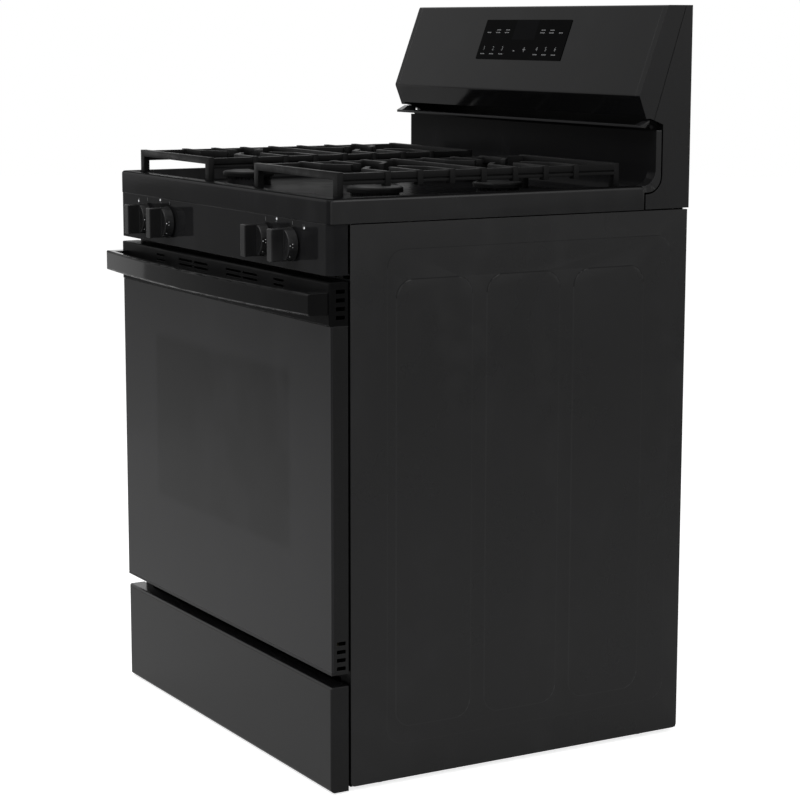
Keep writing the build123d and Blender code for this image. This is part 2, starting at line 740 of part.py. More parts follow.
def oven_floor():
    """Loose floor plate over the bake burner, with heat slots down both sides."""
    half = OVEN_HALF - FLOOR_EDGE_GAP
    run = (FRAME_BACK + FLOOR_EDGE_GAP, OVEN_REAR - FLOOR_EDGE_GAP)
    height = (OVEN_BASE, OVEN_BASE + FLOOR_SHEET)
    plate = slab((-half, half), run, height)
    first = run[0] + FLOOR_SLOT_MARGIN
    pitch = (run[1] - FLOOR_SLOT_MARGIN - first) / FLOOR_SLOT_COUNT
    for side in BOTH:
        x = mirrored(half - FLOOR_SLOT_INSET - FLOOR_SLOT_WIDTH, half - FLOOR_SLOT_INSET, side)
        for index in range(FLOOR_SLOT_COUNT):
            y = first + (index + 0.5) * pitch
            along = (y - (pitch - FLOOR_SLOT_RIB) / 2, y + (pitch - FLOOR_SLOT_RIB) / 2)
            plate -= slab(x, along, (height[0] - CUT, height[1] + CUT))
    return plate


def burner_box():
    """Tray that shields the drawer from the bake burner."""
    half = LINER_HALF - BOX_SIDE_INSET
    run = (FRAME_BACK + BOX_FRONT_GAP, LINER_BACK - BOX_REAR_GAP)
    bottom = LINER_UNDER - BOX_HEIGHT
    tray = slab((-half, half), run, (bottom, LINER_UNDER))
    inside = (run[0] + SHEET, run[1] - SHEET)
    tray -= slab((SHEET - half, half - SHEET), inside, (bottom + SHEET, LINER_UNDER + CUT))
    hole = VENTURI + 2 * VENTURI_CLEAR
    return tray - rod_y(0, bake_axis(), hole, (inside[1] - CUT, run[1] + CUT))


def insulation_wrap():
    """Glass-fibre blanket over the sides, top and back of the oven."""
    outer = LINER_HALF + SEAT_GAP + INSULATION
    inner = LINER_HALF + SEAT_GAP
    front = FRAME_BACK + LINER_SHEET + SEAT_GAP
    bottom = LINER_UNDER - LINER_FLANGE
    wrap = slab((-outer, outer), (front, WRAP_BACK), (bottom, WRAP_TOP))
    inside = (front - CUT, LINER_BACK + SEAT_GAP)
    wrap -= slab((-inner, inner), inside, (bottom - CUT, LINER_TOP + SEAT_GAP))
    wrap -= slab((-inner, inner), (front - CUT, WRAP_BACK + CUT), (bottom - CUT, LINER_UNDER))
    half = FLUE_WIDTH / 2 + SEAT_GAP
    flue = flue_run()
    wrap -= slab((-half, half), (flue[0] - SEAT_GAP, flue[1] + SEAT_GAP), (LINER_TOP, WRAP_TOP + CUT))
    return wrap - rear_wall_holes(LINER_BACK, WRAP_BACK + CUT, SEAT_GAP)


def flue_run():
    """Front and back of the flue where it leaves the oven roof."""
    back = OVEN_REAR - FLUE_INSET + FLUE_DEPTH / 2
    return back - FLUE_DEPTH, back


def flue_path(bottom):
    """Side line of the flue's front face, upwards from a given height."""
    start = flue_run()[0]
    end = BODY_REAR - SHEET - FLUE_REAR_GAP - FLUE_DEPTH / 2
    return [
        (start, bottom),
        (start, LINER_TOP + FLUE_RISE),
        (end, LINER_TOP + FLUE_UPPER),
        (end, RISER_TOP - FLUE_TOP_GAP),
    ]


def flue_bore():
    """Hole in the oven roof that feeds the flue."""
    start, end = flue_run()
    half = FLUE_WIDTH / 2 - SHEET
    return slab((-half, half), (start + SHEET, end - SHEET), (OVEN_TOP - CUT, LINER_TOP + CUT))


def flue_duct():
    """Sheet duct from the oven roof up behind the riser."""
    half = FLUE_WIDTH / 2
    outer = across(bent(flue_path(LINER_TOP), FLUE_DEPTH), (-half, half))
    path = flue_path(LINER_TOP - CUT)
    top_y, top_z = path[-1]
    path[-1] = (top_y, top_z + CUT)
    inner_line = bent(path, SHEET)[: len(path) - 1 : -1]
    inner = across(bent(inner_line, FLUE_DEPTH - 2 * SHEET), (SHEET - half, half - SHEET))
    return outer - inner


def bake_burner():
    """Burner under the oven floor, on two feet, with its inlet tube out of the back."""
    axis = bake_axis()
    rear = LINER_BACK - BURNER_REAR_GAP
    run = (FRAME_BACK + BOX_FRONT_GAP + BAKE_FRONT_GAP, rear)
    height = (axis - BAKE_HEIGHT / 2, axis + BAKE_HEIGHT / 2)
    burner = slab((-BAKE_WIDTH / 2, BAKE_WIDTH / 2), run, height)
    burner = fillet(burner.edges().filter_by(Axis.Y), BAKE_EDGE)
    inside = slab(
        (SHEET - BAKE_WIDTH / 2, BAKE_WIDTH / 2 - SHEET),
        (run[0] + SHEET, run[1] - SHEET),
        (height[0] + SHEET, height[1] - SHEET),
    )
    inside = fillet(inside.edges().filter_by(Axis.Y), BAKE_EDGE - SHEET)
    half = BAKE_WIDTH / 2 - BAKE_FOOT_INSET
    for y in (run[0], run[1] - BAKE_FOOT_WIDTH):
        burner += slab((-half, half), (y, y + BAKE_FOOT_WIDTH), (height[0] - BAKE_FOOT, height[0]))
    inlet = WRAP_BACK + VENTURI_END
    burner += rod_y(0, axis, VENTURI, (rear, inlet))
    return burner - inside - rod_y(0, axis, VENTURI - 2 * SHEET, (rear - SHEET - CUT, inlet + CUT))


def broil_burner():
    """Burner below the oven roof, on four hangers, with its inlet tube out of the back."""
    axis = broil_axis()
    rear = LINER_BACK - BURNER_REAR_GAP - FLUE_DEPTH
    run = (FRAME_BACK + BROIL_FRONT_GAP, rear)
    height = (axis - BROIL_HEIGHT / 2, axis + BROIL_HEIGHT / 2)
    half = OVEN_HALF - BROIL_SIDE_GAP
    burner = slab((-half, half), run, height)
    inside = slab(
        (SHEET - half, half - SHEET),
        (run[0] + SHEET, run[1] - SHEET),
        (height[0] + SHEET, height[1] - SHEET),
    )
    for side in BOTH:
        for y in (run[0], run[1] - BAKE_FOOT_WIDTH):
            corner = mirrored(half - BAKE_FOOT_WIDTH, half, side)
            burner += slab(corner, (y, y + BAKE_FOOT_WIDTH), (height[1], OVEN_TOP))
    inlet = WRAP_BACK + VENTURI_END
    burner += rod_y(0, axis, VENTURI, (rear - VENTURI_LAP, inlet))
    bore = rod_y(0, axis, VENTURI - 2 * SHEET, (rear - VENTURI_LAP + SHEET, inlet + CUT))
    return burner - inside - bore


def oven_igniters():
    """Hot-surface igniters on the side of each oven burner."""
    bake_rear = LINER_BACK - BURNER_REAR_GAP
    broil_rear = bake_rear - FLUE_DEPTH
    igniters = []
    for reach, axis, rear in (
        (BAKE_WIDTH / 2, bake_axis(), bake_rear),
        (OVEN_HALF - BROIL_SIDE_GAP, broil_axis(), broil_rear),
    ):
        x = (reach, reach + IGNITER_WIDTH)
        run = (rear - IGNITER_INSET - IGNITER_LENGTH, rear - IGNITER_INSET)
        igniters.append(slab(x, run, (axis - IGNITER_WIDTH / 2, axis + IGNITER_WIDTH / 2)))
    return group(igniters)


def oven_lamp():
    """Glass lamp cover on the oven's rear wall."""
    z = OVEN_TOP - LAMP_DROP
    dome = rod_y(LAMP_X, z, LAMP_DIAMETER, (OVEN_REAR - LAMP_DEPTH, OVEN_REAR))
    dome = fillet(dome.edges().group_by(Axis.Y)[0], LAMP_EDGE)
    flange = LAMP_DIAMETER + 2 * LAMP_FLANGE
    return dome + rod_y(LAMP_X, z, flange, (OVEN_REAR - LAMP_FLANGE_THICK, OVEN_REAR))


def temperature_probe():
    """Sensor rod through the oven's rear wall."""
    z = OVEN_TOP - PROBE_DROP
    rod = rod_y(PROBE_X, z, PROBE_DIAMETER, (OVEN_REAR - PROBE_LENGTH, LINER_BACK))
    flange = (OVEN_REAR - PROBE_FLANGE_THICK, OVEN_REAR)
    return rod + rod_y(PROBE_X, z, PROBE_FLANGE, flange)


def door_gasket():
    """Seal around the oven mouth on the front frame."""
    inner = OVEN_HALF + GASKET_MARGIN
    outer = inner + GASKET_WIDTH
    low, high = OVEN_BASE - GASKET_MARGIN, OVEN_TOP + GASKET_MARGIN
    depth = (LINER_PLATE_BACK + SEAT_GAP, BODY_FRONT)
    ring = slab((-outer, outer), depth, (low - GASKET_WIDTH, high + GASKET_WIDTH))
    return ring - slab((-inner, inner), (depth[0] - CUT, depth[1] + CUT), (low, high))


def oven_rack(level):
    """Wire rack resting on a pair of ledges, with so many ledges below it."""
    half = OVEN_HALF - RACK_SIDE_GAP - RACK_ROD / 2
    z = ledge_top(level) + SEAT_GAP + RACK_ROD / 2
    front = PLUG_BACK + RACK_FRONT_GAP + RACK_ROD / 2
    back = OVEN_REAR - RACK_REAR_GAP - RACK_ROD / 2
    corners = [(-half, front, z), (half, front, z), (half, back, z), (-half, back, z)]
    rim = FilletPolyline(*corners, radius=RACK_CORNER, close=True)
    section = Plane(origin=rim @ 0, z_dir=rim % 0) * Circle(RACK_ROD / 2)
    rack = sweep(section, path=rim)
    for index in range(RACK_WIRES):
        x = (index - (RACK_WIRES - 1) / 2) * 2 * half / (RACK_WIRES + 1)
        rack += rod_y(x, z, RACK_WIRE, (front, back))
    return rack


def cooktop():
    """Pressed top: skirt, raised rim, sunken well, and the riser with its vent lip."""
    top = cooktop_block() + riser_block()
    top -= cooktop_hollow()
    top -= cooktop_well()
    top += riser_foot()
    through = (WELL_UNDER - CUT, WELL_FLOOR + CUT)
    for x, y, cap in burner_places():
        top -= rod_z(x, y, THROAT + 2 * THROAT_CLEAR, through)
        spark_x, spark_y = spark_place(x, y, cap)
        top -= rod_z(spark_x, spark_y, SPARK_DIAMETER + 2 * SPARK_CLEAR, through)
    return top


def cooktop_block():
    """Skirt and rim as one block with rounded front corners and a soft upper edge."""
    block = slab((-HALF, HALF), (PANEL_FACE, SKIRT_REAR), (SKIRT_BOTTOM, COOKTOP_HEIGHT))
    block = fillet(block.edges().filter_by(Axis.Z).group_by(Axis.Y)[0], COOKTOP_CORNER)
    rim = block.faces().sort_by(Axis.Z)[-1].edges().sort_by(Axis.Y)[:-1]
    return fillet(rim, COOKTOP_EDGE)


def riser_block():
    """Riser behind the cooking surface, bent forward into the vent lip, with a tab and a wall at both ends."""
    lip_front = RISER_FACE - LIP_REACH
    lip_under = RISER_TOP - LIP_SHEET
    curve_start = RISER_FACE - RISER_CURVE
    curve_end = COOKTOP_HEIGHT - RISER_STRIP
    outline = [
        (curve_start, COOKTOP_HEIGHT),
        (RISER_FACE, COOKTOP_HEIGHT),
        (RISER_FACE, lip_under),
        (lip_front, lip_under),
        (lip_front, RISER_TOP),
        (RISER_BACK, RISER_TOP),
        (RISER_BACK, curve_end),
        (curve_start, curve_end),
    ]
    bend = RISER_CURVE - SEAT_GAP
    rounds = [0, bend, LIP_CURVE, 0, 0, LIP_CURVE + LIP_SHEET, bend, 0]
    riser = across(outline, (-HALF, HALF), rounds)
    notch_front = lip_front + LIP_NOTCH_STEP
    notch = (notch_front, RISER_BACK + CUT)
    tab_tip = lip_front + LIP_TAB_REACH
    tab_top = RISER_TOP + LIP_TAB_RISE
    tab = [
        (lip_front, lip_under),
        (lip_front, RISER_TOP),
        (tab_tip, tab_top),
        (tab_tip, tab_top - LIP_SHEET),
        (notch_front, lip_under),
    ]
    wall = [
        (lip_front, lip_under),
        (lip_front, RISER_TOP),
        (tab_tip, tab_top),
        (RISER_FACE, tab_top),
        (RISER_FACE, lip_under),
    ]
    for side in BOTH:
        end = mirrored(HALF - LIP_NOTCH, HALF + CUT, side)
        riser -= slab(end, notch, (RISER_TOP - LIP_NOTCH_DROP, RISER_TOP + CUT))
        riser += across(tab, mirrored(HALF - LIP_NOTCH, HALF, side))
        riser += across(wall, mirrored(HALF - LIP_NOTCH - LIP_END_WALL, HALF - LIP_NOTCH, side))
    return riser


def cooktop_hollow():
    """Space under the cooktop and behind the riser, between the skirts."""
    inner = HALF - SKIRT_SHEET
    front = PANEL_FACE + SKIRT_SHEET
    sheet_back = RISER_FACE + COOKTOP_SHEET
    bottom = SKIRT_BOTTOM - CUT
    crown = RISER_TOP - LIP_SHEET - LIP_CURVE
    outline = [
        (front, bottom),
        (front, WELL_UNDER),
        (sheet_back, WELL_UNDER),
        (sheet_back, crown),
        (RISER_BACK + CUT, crown),
        (RISER_BACK + CUT, bottom),
    ]
    hollow = across(outline, (-inner, inner), [0, 0, RISER_CURVE + COOKTOP_SHEET, 0, 0, 0])
    hollow = fillet(hollow.edges().filter_by(Axis.Z).group_by(Axis.Y)[0], COOKTOP_CORNER - SKIRT_SHEET)
    rim_under = (bottom, COOKTOP_HEIGHT - COOKTOP_SHEET)
    rim_back = PANEL_FACE + RIM_WIDTH - COOKTOP_SHEET
    corner = HALF - COOKTOP_CORNER
    hollow += slab((-corner, corner), (front, rim_back), rim_under)
    for side in BOTH:
        under = mirrored(HALF - RIM_WIDTH + COOKTOP_SHEET, inner, side)
        hollow += slab(under, (PANEL_FACE + COOKTOP_CORNER, RISER_FACE - RISER_CURVE), rim_under)
    return hollow


def riser_foot():
    """Curved sheet that joins the well's floor to the riser."""
    inner = HALF - RIM_WIDTH
    back = RISER_FACE + COOKTOP_SHEET
    start = RISER_FACE - RISER_CURVE - COOKTOP_SHEET
    top = COOKTOP_HEIGHT + RISER_CURVE
    outline = [(start, top), (start, WELL_UNDER), (back, WELL_UNDER), (back, top)]
    foot = across(outline, (-inner, inner), [0, 0, RISER_CURVE + COOKTOP_SHEET, 0])
    return foot - cooktop_well()


def cooktop_well():
    """Sunken cooking floor that sweeps up into the riser."""
    inner = HALF - RIM_WIDTH
    front = PANEL_FACE + RIM_WIDTH
    top = COOKTOP_HEIGHT + RISER_CURVE
    outline = [(front, top), (front, WELL_FLOOR), (RISER_FACE, WELL_FLOOR), (RISER_FACE, top)]
    return across(outline, (-inner, inner), [0, WELL_CORNER, RISER_CURVE, 0])


def burner_heads():
    """Burner heads with flame ports, each with a throat through the cooktop."""
    heads = []
    for x, y, cap in burner_places():
        radius = cap / 2 - CAP_OVERHANG
        top = WELL_FLOOR + HEAD_HEIGHT
        head = rod_z(x, y, 2 * radius, (WELL_FLOOR, top))
        head += rod_z(x, y, THROAT, (WELL_FLOOR - THROAT_LENGTH, WELL_FLOOR))
        ports = [
            Pos(x, y, top - PORT_HEIGHT / 2) * Rot(0, 0, index * 360 / PORT_COUNT)
            * Pos(radius, 0, 0) * Box(2 * PORT_DEPTH, PORT_WIDTH, PORT_HEIGHT)
            for index in range(PORT_COUNT)
        ]
        heads.append(head - ports)
    return group(heads)


def burner_caps():
    """Enamelled caps on the burner heads."""
    caps = []
    for x, y, cap in burner_places():
        bottom = WELL_FLOOR + HEAD_HEIGHT
        disc = rod_z(x, y, cap, (bottom, bottom + CAP_THICK))
        caps.append(fillet(disc.edges().group_by(Axis.Z)[-1], CAP_EDGE))
    return group(caps)


def spark_electrodes():
    """Ceramic spark pins beside the burner heads."""
    top = WELL_FLOOR + HEAD_HEIGHT - SPARK_TOP_GAP
    pins = []
    for x, y, cap in burner_places():
        pin_x, pin_y = spark_place(x, y, cap)
        pins.append(rod_z(pin_x, pin_y, SPARK_DIAMETER, (top - SPARK_LENGTH, top)))
    return group(pins)


def bar(start, end, width, height):
    """Straight bar with its top at the grate's top, between two (x, y) points."""
    run_x, run_y = end[0] - start[0], end[1] - start[1]
    middle = Pos((start[0] + end[0]) / 2, (start[1] + end[1]) / 2, GRATE_TOP - height / 2)
    turn = math.degrees(math.atan2(run_y, run_x))
    return middle * Rot(0, 0, turn) * Box(math.hypot(run_x, run_y), width, height)


def grate(side):
    """Cast grate over a front and a rear burner."""
    front, back = GRATE_FRONT, GRATE_BACK
    rail = (GRATE_TOP - RAIL_DROP - RAIL_HEIGHT, GRATE_TOP - RAIL_DROP)
    inner, outer = side * GRATE_INNER, side * GRATE_OUTER
    casting = slab(mirrored(GRATE_INNER, GRATE_INNER + RAIL_WIDTH, side), (front, back), rail)
    casting += slab(mirrored(GRATE_OUTER - RAIL_WIDTH, GRATE_OUTER, side), (front, back), rail)
    groove = (rail[1] - RAIL_GROOVE_DROP - RAIL_GROOVE, rail[1] - RAIL_GROOVE_DROP)
    inner_groove = mirrored(GRATE_INNER - CUT, GRATE_INNER + RAIL_GROOVE_DEPTH, side)
    outer_groove = mirrored(GRATE_OUTER - RAIL_GROOVE_DEPTH, GRATE_OUTER + CUT, side)
    casting -= slab(inner_groove, (front, back), groove)
    casting -= slab(outer_groove, (front, back), groove)
    for y in (front, back - RAIL_WIDTH):
        height = (GRATE_TOP - END_RAIL_HEIGHT, GRATE_TOP)
        casting += slab(mirrored(GRATE_INNER, GRATE_OUTER, side), (y, y + RAIL_WIDTH), height)
        for edge in (GRATE_INNER, GRATE_OUTER - LEG_WIDTH):
            leg = mirrored(edge, edge + LEG_WIDTH, side)
            casting += slab(leg, (y, y + RAIL_WIDTH), (WELL_FLOOR + SEAT_GAP, GRATE_TOP))
    middle = (front + back) / 2
    casting += bar((inner, middle), (outer, middle), FINGER_WIDTH, FINGER_HEIGHT)
    rows = [middle]
    for burner_y in (FRONT_BURNER, REAR_BURNER):
        for rim, inward in ((inner, side), (outer, -side)):
            tip = rim + inward * FINGER_REACH
            casting += bar((rim, burner_y), (tip, burner_y), FINGER_WIDTH, FINGER_HEIGHT)
            for step in BOTH:
                row = burner_y + step * FINGER_PITCH
                knee = (rim + inward * STUB_REACH, row)
                point = (side * BURNER_X - inward * DIAGONAL_GAP, burner_y + step * DIAGONAL_GAP)
                casting += bar((rim, row), knee, FINGER_WIDTH, FINGER_HEIGHT)
                casting += bar(knee, point, FINGER_WIDTH, FINGER_HEIGHT)
                casting += rod_z(*knee, FINGER_WIDTH, (GRATE_TOP - FINGER_HEIGHT, GRATE_TOP))
        rows += [burner_y + step * FINGER_PITCH for step in (-1, 0, 1)]
    for y in rows:
        along = (y - TAB_WIDTH / 2, y + TAB_WIDTH / 2)
        height = (GRATE_TOP - TAB_HEIGHT, GRATE_TOP)
        casting += slab(mirrored(GRATE_INNER - TAB_PROUD, GRATE_INNER + RAIL_WIDTH, side), along, height)
        casting += slab(mirrored(GRATE_OUTER - RAIL_WIDTH, GRATE_OUTER + TAB_PROUD, side), along, height)
    return casting


def control_panel():
    """Front panel behind the knobs, open at the back, with a seam left before the side panels."""
    depth = (PANEL_FACE, BODY_FRONT)
    height = (PANEL_BOTTOM, SKIRT_BOTTOM - SEAT_GAP)
    panel = slab((-FRONT_HALF, FRONT_HALF), depth, height)
    panel = fillet(panel.edges().filter_by(Axis.Z).group_by(Axis.Y)[0], PANEL_CORNER)
    inner = FRONT_HALF - PANEL_SHEET
    hollow = slab(
        (-inner, inner),
        (PANEL_FACE + PANEL_SHEET, BODY_FRONT + CUT),
        (height[0] + PANEL_SHEET, height[1] - PANEL_SHEET),
    )
    hollow = fillet(hollow.edges().filter_by(Axis.Z).group_by(Axis.Y)[0], PANEL_CORNER - PANEL_SHEET)
    panel -= hollow
    for side in BOTH:
        end = mirrored(inner, FRONT_HALF + CUT, side)
        panel -= slab(end, (BODY_FRONT - PANEL_SEAM, BODY_FRONT + CUT), (height[0] - CUT, height[1] + CUT))
    for x in knob_places().values():
        panel -= rod_y(x, KNOB_HEIGHT, STEM_HOLE, (PANEL_FACE - CUT, PANEL_FACE + PANEL_SHEET + CUT))
    return panel


def valve_front():
    """Front face of the burner valves."""
    return FRAME_BACK - VALVE_DEPTH


def stem_run():
    """Both ends of a valve stem along Y."""
    knob_back = PANEL_FACE - KNOB_STANDOFF
    return knob_back - STEM_INTO_KNOB, valve_front() + STEM_INTO_VALVE


def stem_section(clearance):
    """D-shaped stem section, grown by a clearance."""
    radius = STEM_DIAMETER / 2 + clearance
    flat = STEM_DIAMETER / 2 - STEM_FLAT + clearance
    below = Pos(0, flat - radius) * Rectangle(2 * radius, 2 * radius)
    return Circle(radius) & below


def along_y(section, x, y):
    """Section carried along Y at a knob's place."""
    plane = Plane(origin=(x, y[0], KNOB_HEIGHT), x_dir=(-1, 0, 0), z_dir=(0, 1, 0))
    return extrude(plane * section, y[1] - y[0], dir=(0, 1, 0))


def valve_stem(x):
    """Stem that turns in its valve and carries the knob."""
    start, end = stem_run()
    d_end = PANEL_FACE + PANEL_SHEET
    stem = along_y(stem_section(0.0), x, (start, d_end))
    return stem + rod_y(x, KNOB_HEIGHT, STEM_DIAMETER, (d_end, end))


def knob(x):
    """Knob with a tapered skirt and a blade grip, bored for the stem."""
    back = PANEL_FACE - KNOB_STANDOFF
    front = PANEL_FACE - KNOB_PROJECTION
    radius = KNOB_DIAMETER / 2
    plane = Plane(origin=(x, back, KNOB_HEIGHT), x_dir=(1, 0, 0), z_dir=(0, -1, 0))
    skirt = plane * Pos(0, 0, KNOB_SKIRT / 2) * Cone(radius, radius - KNOB_TAPER, KNOB_SKIRT)
    skirt = fillet(skirt.edges().group_by(Axis.Y)[0], KNOB_EDGE)
    blade = slab(
        (x - KNOB_BLADE / 2, x + KNOB_BLADE / 2),
        (front, back - KNOB_EDGE),
        (KNOB_HEIGHT - radius, KNOB_HEIGHT + radius),
    )
    blade &= rod_y(x, KNOB_HEIGHT, KNOB_DIAMETER - KNOB_TAPER, (front - CUT, back + CUT))
    blade = fillet(blade.edges().group_by(Axis.Y)[0], KNOB_EDGE)
    bore = along_y(stem_section(RUN_FIT), x, (back - KNOB_BORE_DEPTH, back + CUT))
    return skirt + blade - bore


def burner_valves():
    """Gas valve bodies on the manifold, each bored for its stem."""
    front = valve_front()
    bodies = []
    for x in knob_places().values():
        height = (KNOB_HEIGHT - VALVE_HEIGHT / 2, KNOB_HEIGHT + VALVE_HEIGHT / 2)
        body = slab((x - VALVE_WIDTH / 2, x + VALVE_WIDTH / 2), (front, FRAME_BACK), height)
        bore = STEM_DIAMETER + 2 * RUN_FIT
        body -= rod_y(x, KNOB_HEIGHT, bore, (front - CUT, front + STEM_INTO_VALVE + SEAT_GAP))
        bodies.append(body)
    return group(bodies)


def manifold_pipe():
    """Square gas pipe behind the valves, held on the frame's uprights."""
    reach = VALVE_BAY_HALF + MANIFOLD_LAP
    height = (KNOB_HEIGHT - MANIFOLD / 2, KNOB_HEIGHT + MANIFOLD / 2)
    return slab((-reach, reach), (FRAME_BACK, FRAME_BACK + MANIFOLD), height)


def supply_axis():
    """Depth of the gas pipes that rise behind the oven."""
    return BODY_REAR - SHEET - REGULATOR_DEPTH / 2


def supply_pipe():
    """Pipe from the regulator up the back and forward to the manifold."""
    y = supply_axis()
    start = REGULATOR_HEIGHT + REGULATOR_WIDTH / 2
    points = [
        (SUPPLY_X, y, start),
        (SUPPLY_X, y, KNOB_HEIGHT),
        (SUPPLY_X, FRAME_BACK + MANIFOLD, KNOB_HEIGHT),
    ]
    return tube(points, SUPPLY_PIPE, SUPPLY_BEND)


def pressure_regulator():
    """Regulator block with its diaphragm bonnet and the threaded gas inlet."""
    back = BODY_REAR - SHEET
    half = REGULATOR_WIDTH / 2
    run = (back - REGULATOR_DEPTH, back)
    x = (SUPPLY_X - half, SUPPLY_X + half)
    block = slab(x, run, (REGULATOR_HEIGHT - half, REGULATOR_HEIGHT + half))
    bonnet = (run[0] - REGULATOR_BONNET_DEPTH, run[0])
    block += rod_y(SUPPLY_X, REGULATOR_HEIGHT, REGULATOR_BONNET, bonnet)
    block += rod_y(SUPPLY_X, REGULATOR_HEIGHT, INLET_BOSS, (back, BODY_REAR))
    return block - rod_y(SUPPLY_X, REGULATOR_HEIGHT, INLET_BORE, (BODY_REAR - INLET_DEPTH, REAR + CUT))


def oven_valve_height():
    """Bottom and top of the oven's gas valve."""
    top = KNOB_HEIGHT - OVEN_VALVE_TOP_GAP
    return top - OVEN_VALVE_HEIGHT, top


def oven_gas_valve():
    """Electric valve that feeds the two oven burners."""
    back = BODY_REAR - SHEET
    half = OVEN_VALVE_WIDTH / 2
    x = (OVEN_VALVE_X - half, OVEN_VALVE_X + half)
    return slab(x, (back - OVEN_VALVE_DEPTH, back), oven_valve_height())


def gas_tubes():
    """Small tubes from the valves to the top burners and to the oven burners."""
    tubes = []
    valve_top = KNOB_HEIGHT + VALVE_HEIGHT / 2
    level = valve_top + TUBE_NECK + TUBE_TIGHT_BEND
    mid_valve = FRAME_BACK - VALVE_DEPTH / 2
    for side in BOTH:
        for x, burner_y in ((KNOB_OUTER, FRONT_BURNER), (KNOB_INNER, REAR_BURNER)):
            end = burner_y - THROAT / 2
            points = [
                (side * x, mid_valve, valve_top),
                (side * x, mid_valve, level),
                (side * x, end - TUBE_LEAD - TUBE_JOG, level),
                (side * BURNER_X, end - TUBE_LEAD, level),
                (side * BURNER_X, end, level),
            ]
            tubes.append(tube(points, GAS_TUBE, TUBE_TIGHT_BEND))
    low, high = oven_valve_height()
    y = BODY_REAR - SHEET - OVEN_VALVE_DEPTH / 2
    feed = [
        (OVEN_VALVE_X, FRAME_BACK + MANIFOLD, KNOB_HEIGHT),
        (OVEN_VALVE_X, y, KNOB_HEIGHT),
        (OVEN_VALVE_X, y, high),
    ]
    tubes.append(tube(feed, GAS_TUBE, TUBE_BEND))
    inlet = WRAP_BACK + VENTURI_END
    for step, axis in ((-OVEN_TUBE_SPACING, broil_axis()), (OVEN_TUBE_SPACING, bake_axis())):
        x = OVEN_VALVE_X + step
        drop = [(x, y, low), (x, y, axis), (0, y, axis), (0, inlet, axis)]
        tubes.append(tube(drop, GAS_TUBE, TUBE_BEND))
    return group(tubes)


def spark_module():
    """Spark generator box on the rear panel."""
    width, depth, height = SPARK_BOX
    back = BODY_REAR - SHEET
    x = (SPARK_BOX_X - width / 2, SPARK_BOX_X + width / 2)
    top = broil_axis() - GAS_TUBE / 2 - SPARK_BOX_GAP
    return slab(x, (back - depth, back), (top - height, top))


def console_line():
    """Outer side line of the console sheet, from its lower edge over the knee to the back."""
    return [
        (REAR - CONSOLE_LOW_INSET, CONSOLE_LOW_HEIGHT),
        (REAR - KNEE_INSET, KNEE_HEIGHT),
        (REAR - CONSOLE_TOP_INSET, RANGE_HEIGHT),
        (BODY_REAR, RANGE_HEIGHT),
    ]


def console_front():
    """Bent console sheet: sloping face, top, and the lower face over the vent."""
    half = HALF - END_CAP
    outline = bent(console_line(), CONSOLE_SHEET)
    inner_knee = KNEE_RADIUS - CONSOLE_SHEET
    inner_top = CONSOLE_TOP_RADIUS - CONSOLE_SHEET
    rounds = [0, KNEE_RADIUS, CONSOLE_TOP_RADIUS, 0, 0, inner_top, inner_knee, 0]
    sheet = across(outline, (-half, half), rounds)
    vent = (CONSOLE_LOW_HEIGHT - CUT, CONSOLE_LOW_HEIGHT + CONSOLE_EDGE_RISE)
    return sheet - slab((-half - CUT, half + CUT), (REAR - KNEE_INSET, REAR), vent)


def backguard_rear_cover():
    """Flat sheet that closes the backguard behind."""
    half = HALF - END_CAP
    return slab((-half, half), (BODY_REAR, REAR), (SKIRT_BOTTOM + CAP_BOTTOM_STEP, RANGE_HEIGHT))


def end_cap(side):
    """End plate of the backguard, shaped to the riser below it, with a fine groove up its side."""
    low, knee, top = console_line()[:3]
    bottom = SKIRT_BOTTOM + CAP_BOTTOM_STEP
    strip = RISER_BACK + CAP_SEAM
    curve = COOKTOP_HEIGHT - RISER_STRIP - CAP_SEAM
    outline = [
        (REAR, bottom),
        (SKIRT_REAR + CAP_SEAM, bottom),
        (SKIRT_REAR + CAP_SEAM, curve),
        (strip, curve),
        (strip, RISER_TOP + CAP_BOTTOM_STEP),
        (REAR - CAP_NOSE_INSET, CONSOLE_LOW_HEIGHT),
        low,
        knee,
        top,
        (REAR, RANGE_HEIGHT),
    ]
    rounds = [0, 0, 0, RISER_CURVE + CAP_SEAM, 0, 0, 0, KNEE_RADIUS, CONSOLE_TOP_RADIUS, 0]
    cap = across(outline, mirrored(HALF - END_CAP, HALF, side), rounds)
    foot = REAR - CAP_GROOVE_FOOT_INSET
    end = REAR - CAP_GROOVE_TOP_INSET
    line = [
        (foot, RISER_TOP),
        (foot + CAP_GROOVE, RISER_TOP),
        (end + CAP_GROOVE, RANGE_HEIGHT + CUT),
        (end, RANGE_HEIGHT + CUT),
    ]
    return cap - across(line, mirrored(HALF - CAP_GROOVE_DEPTH, HALF + CUT, side))


def console_face():
    """Plane of the console's sloping face, its origin at the knee on the centre line."""
    knee, top = console_line()[1:3]
    slope = (top[0] - knee[0], top[1] - knee[1])
    return Plane(origin=(0, *knee), x_dir=(1, 0, 0), z_dir=(0, -slope[1], slope[0]))


def touch_centre():
    """Distance from the knee up the sloping face to the middle of the touch panel."""
    knee, top = console_line()[1:3]
    return math.dist(knee, top) - TOUCH_TOP_GAP - TOUCH_HEIGHT / 2


def touch_panel():
    """Thin glass touch panel on the sloping face."""
    face = console_face() * Pos(0, touch_centre())
    return extrude(face * RectangleRounded(TOUCH_WIDTH, TOUCH_HEIGHT, TOUCH_CORNER), TOUCH_THICK)


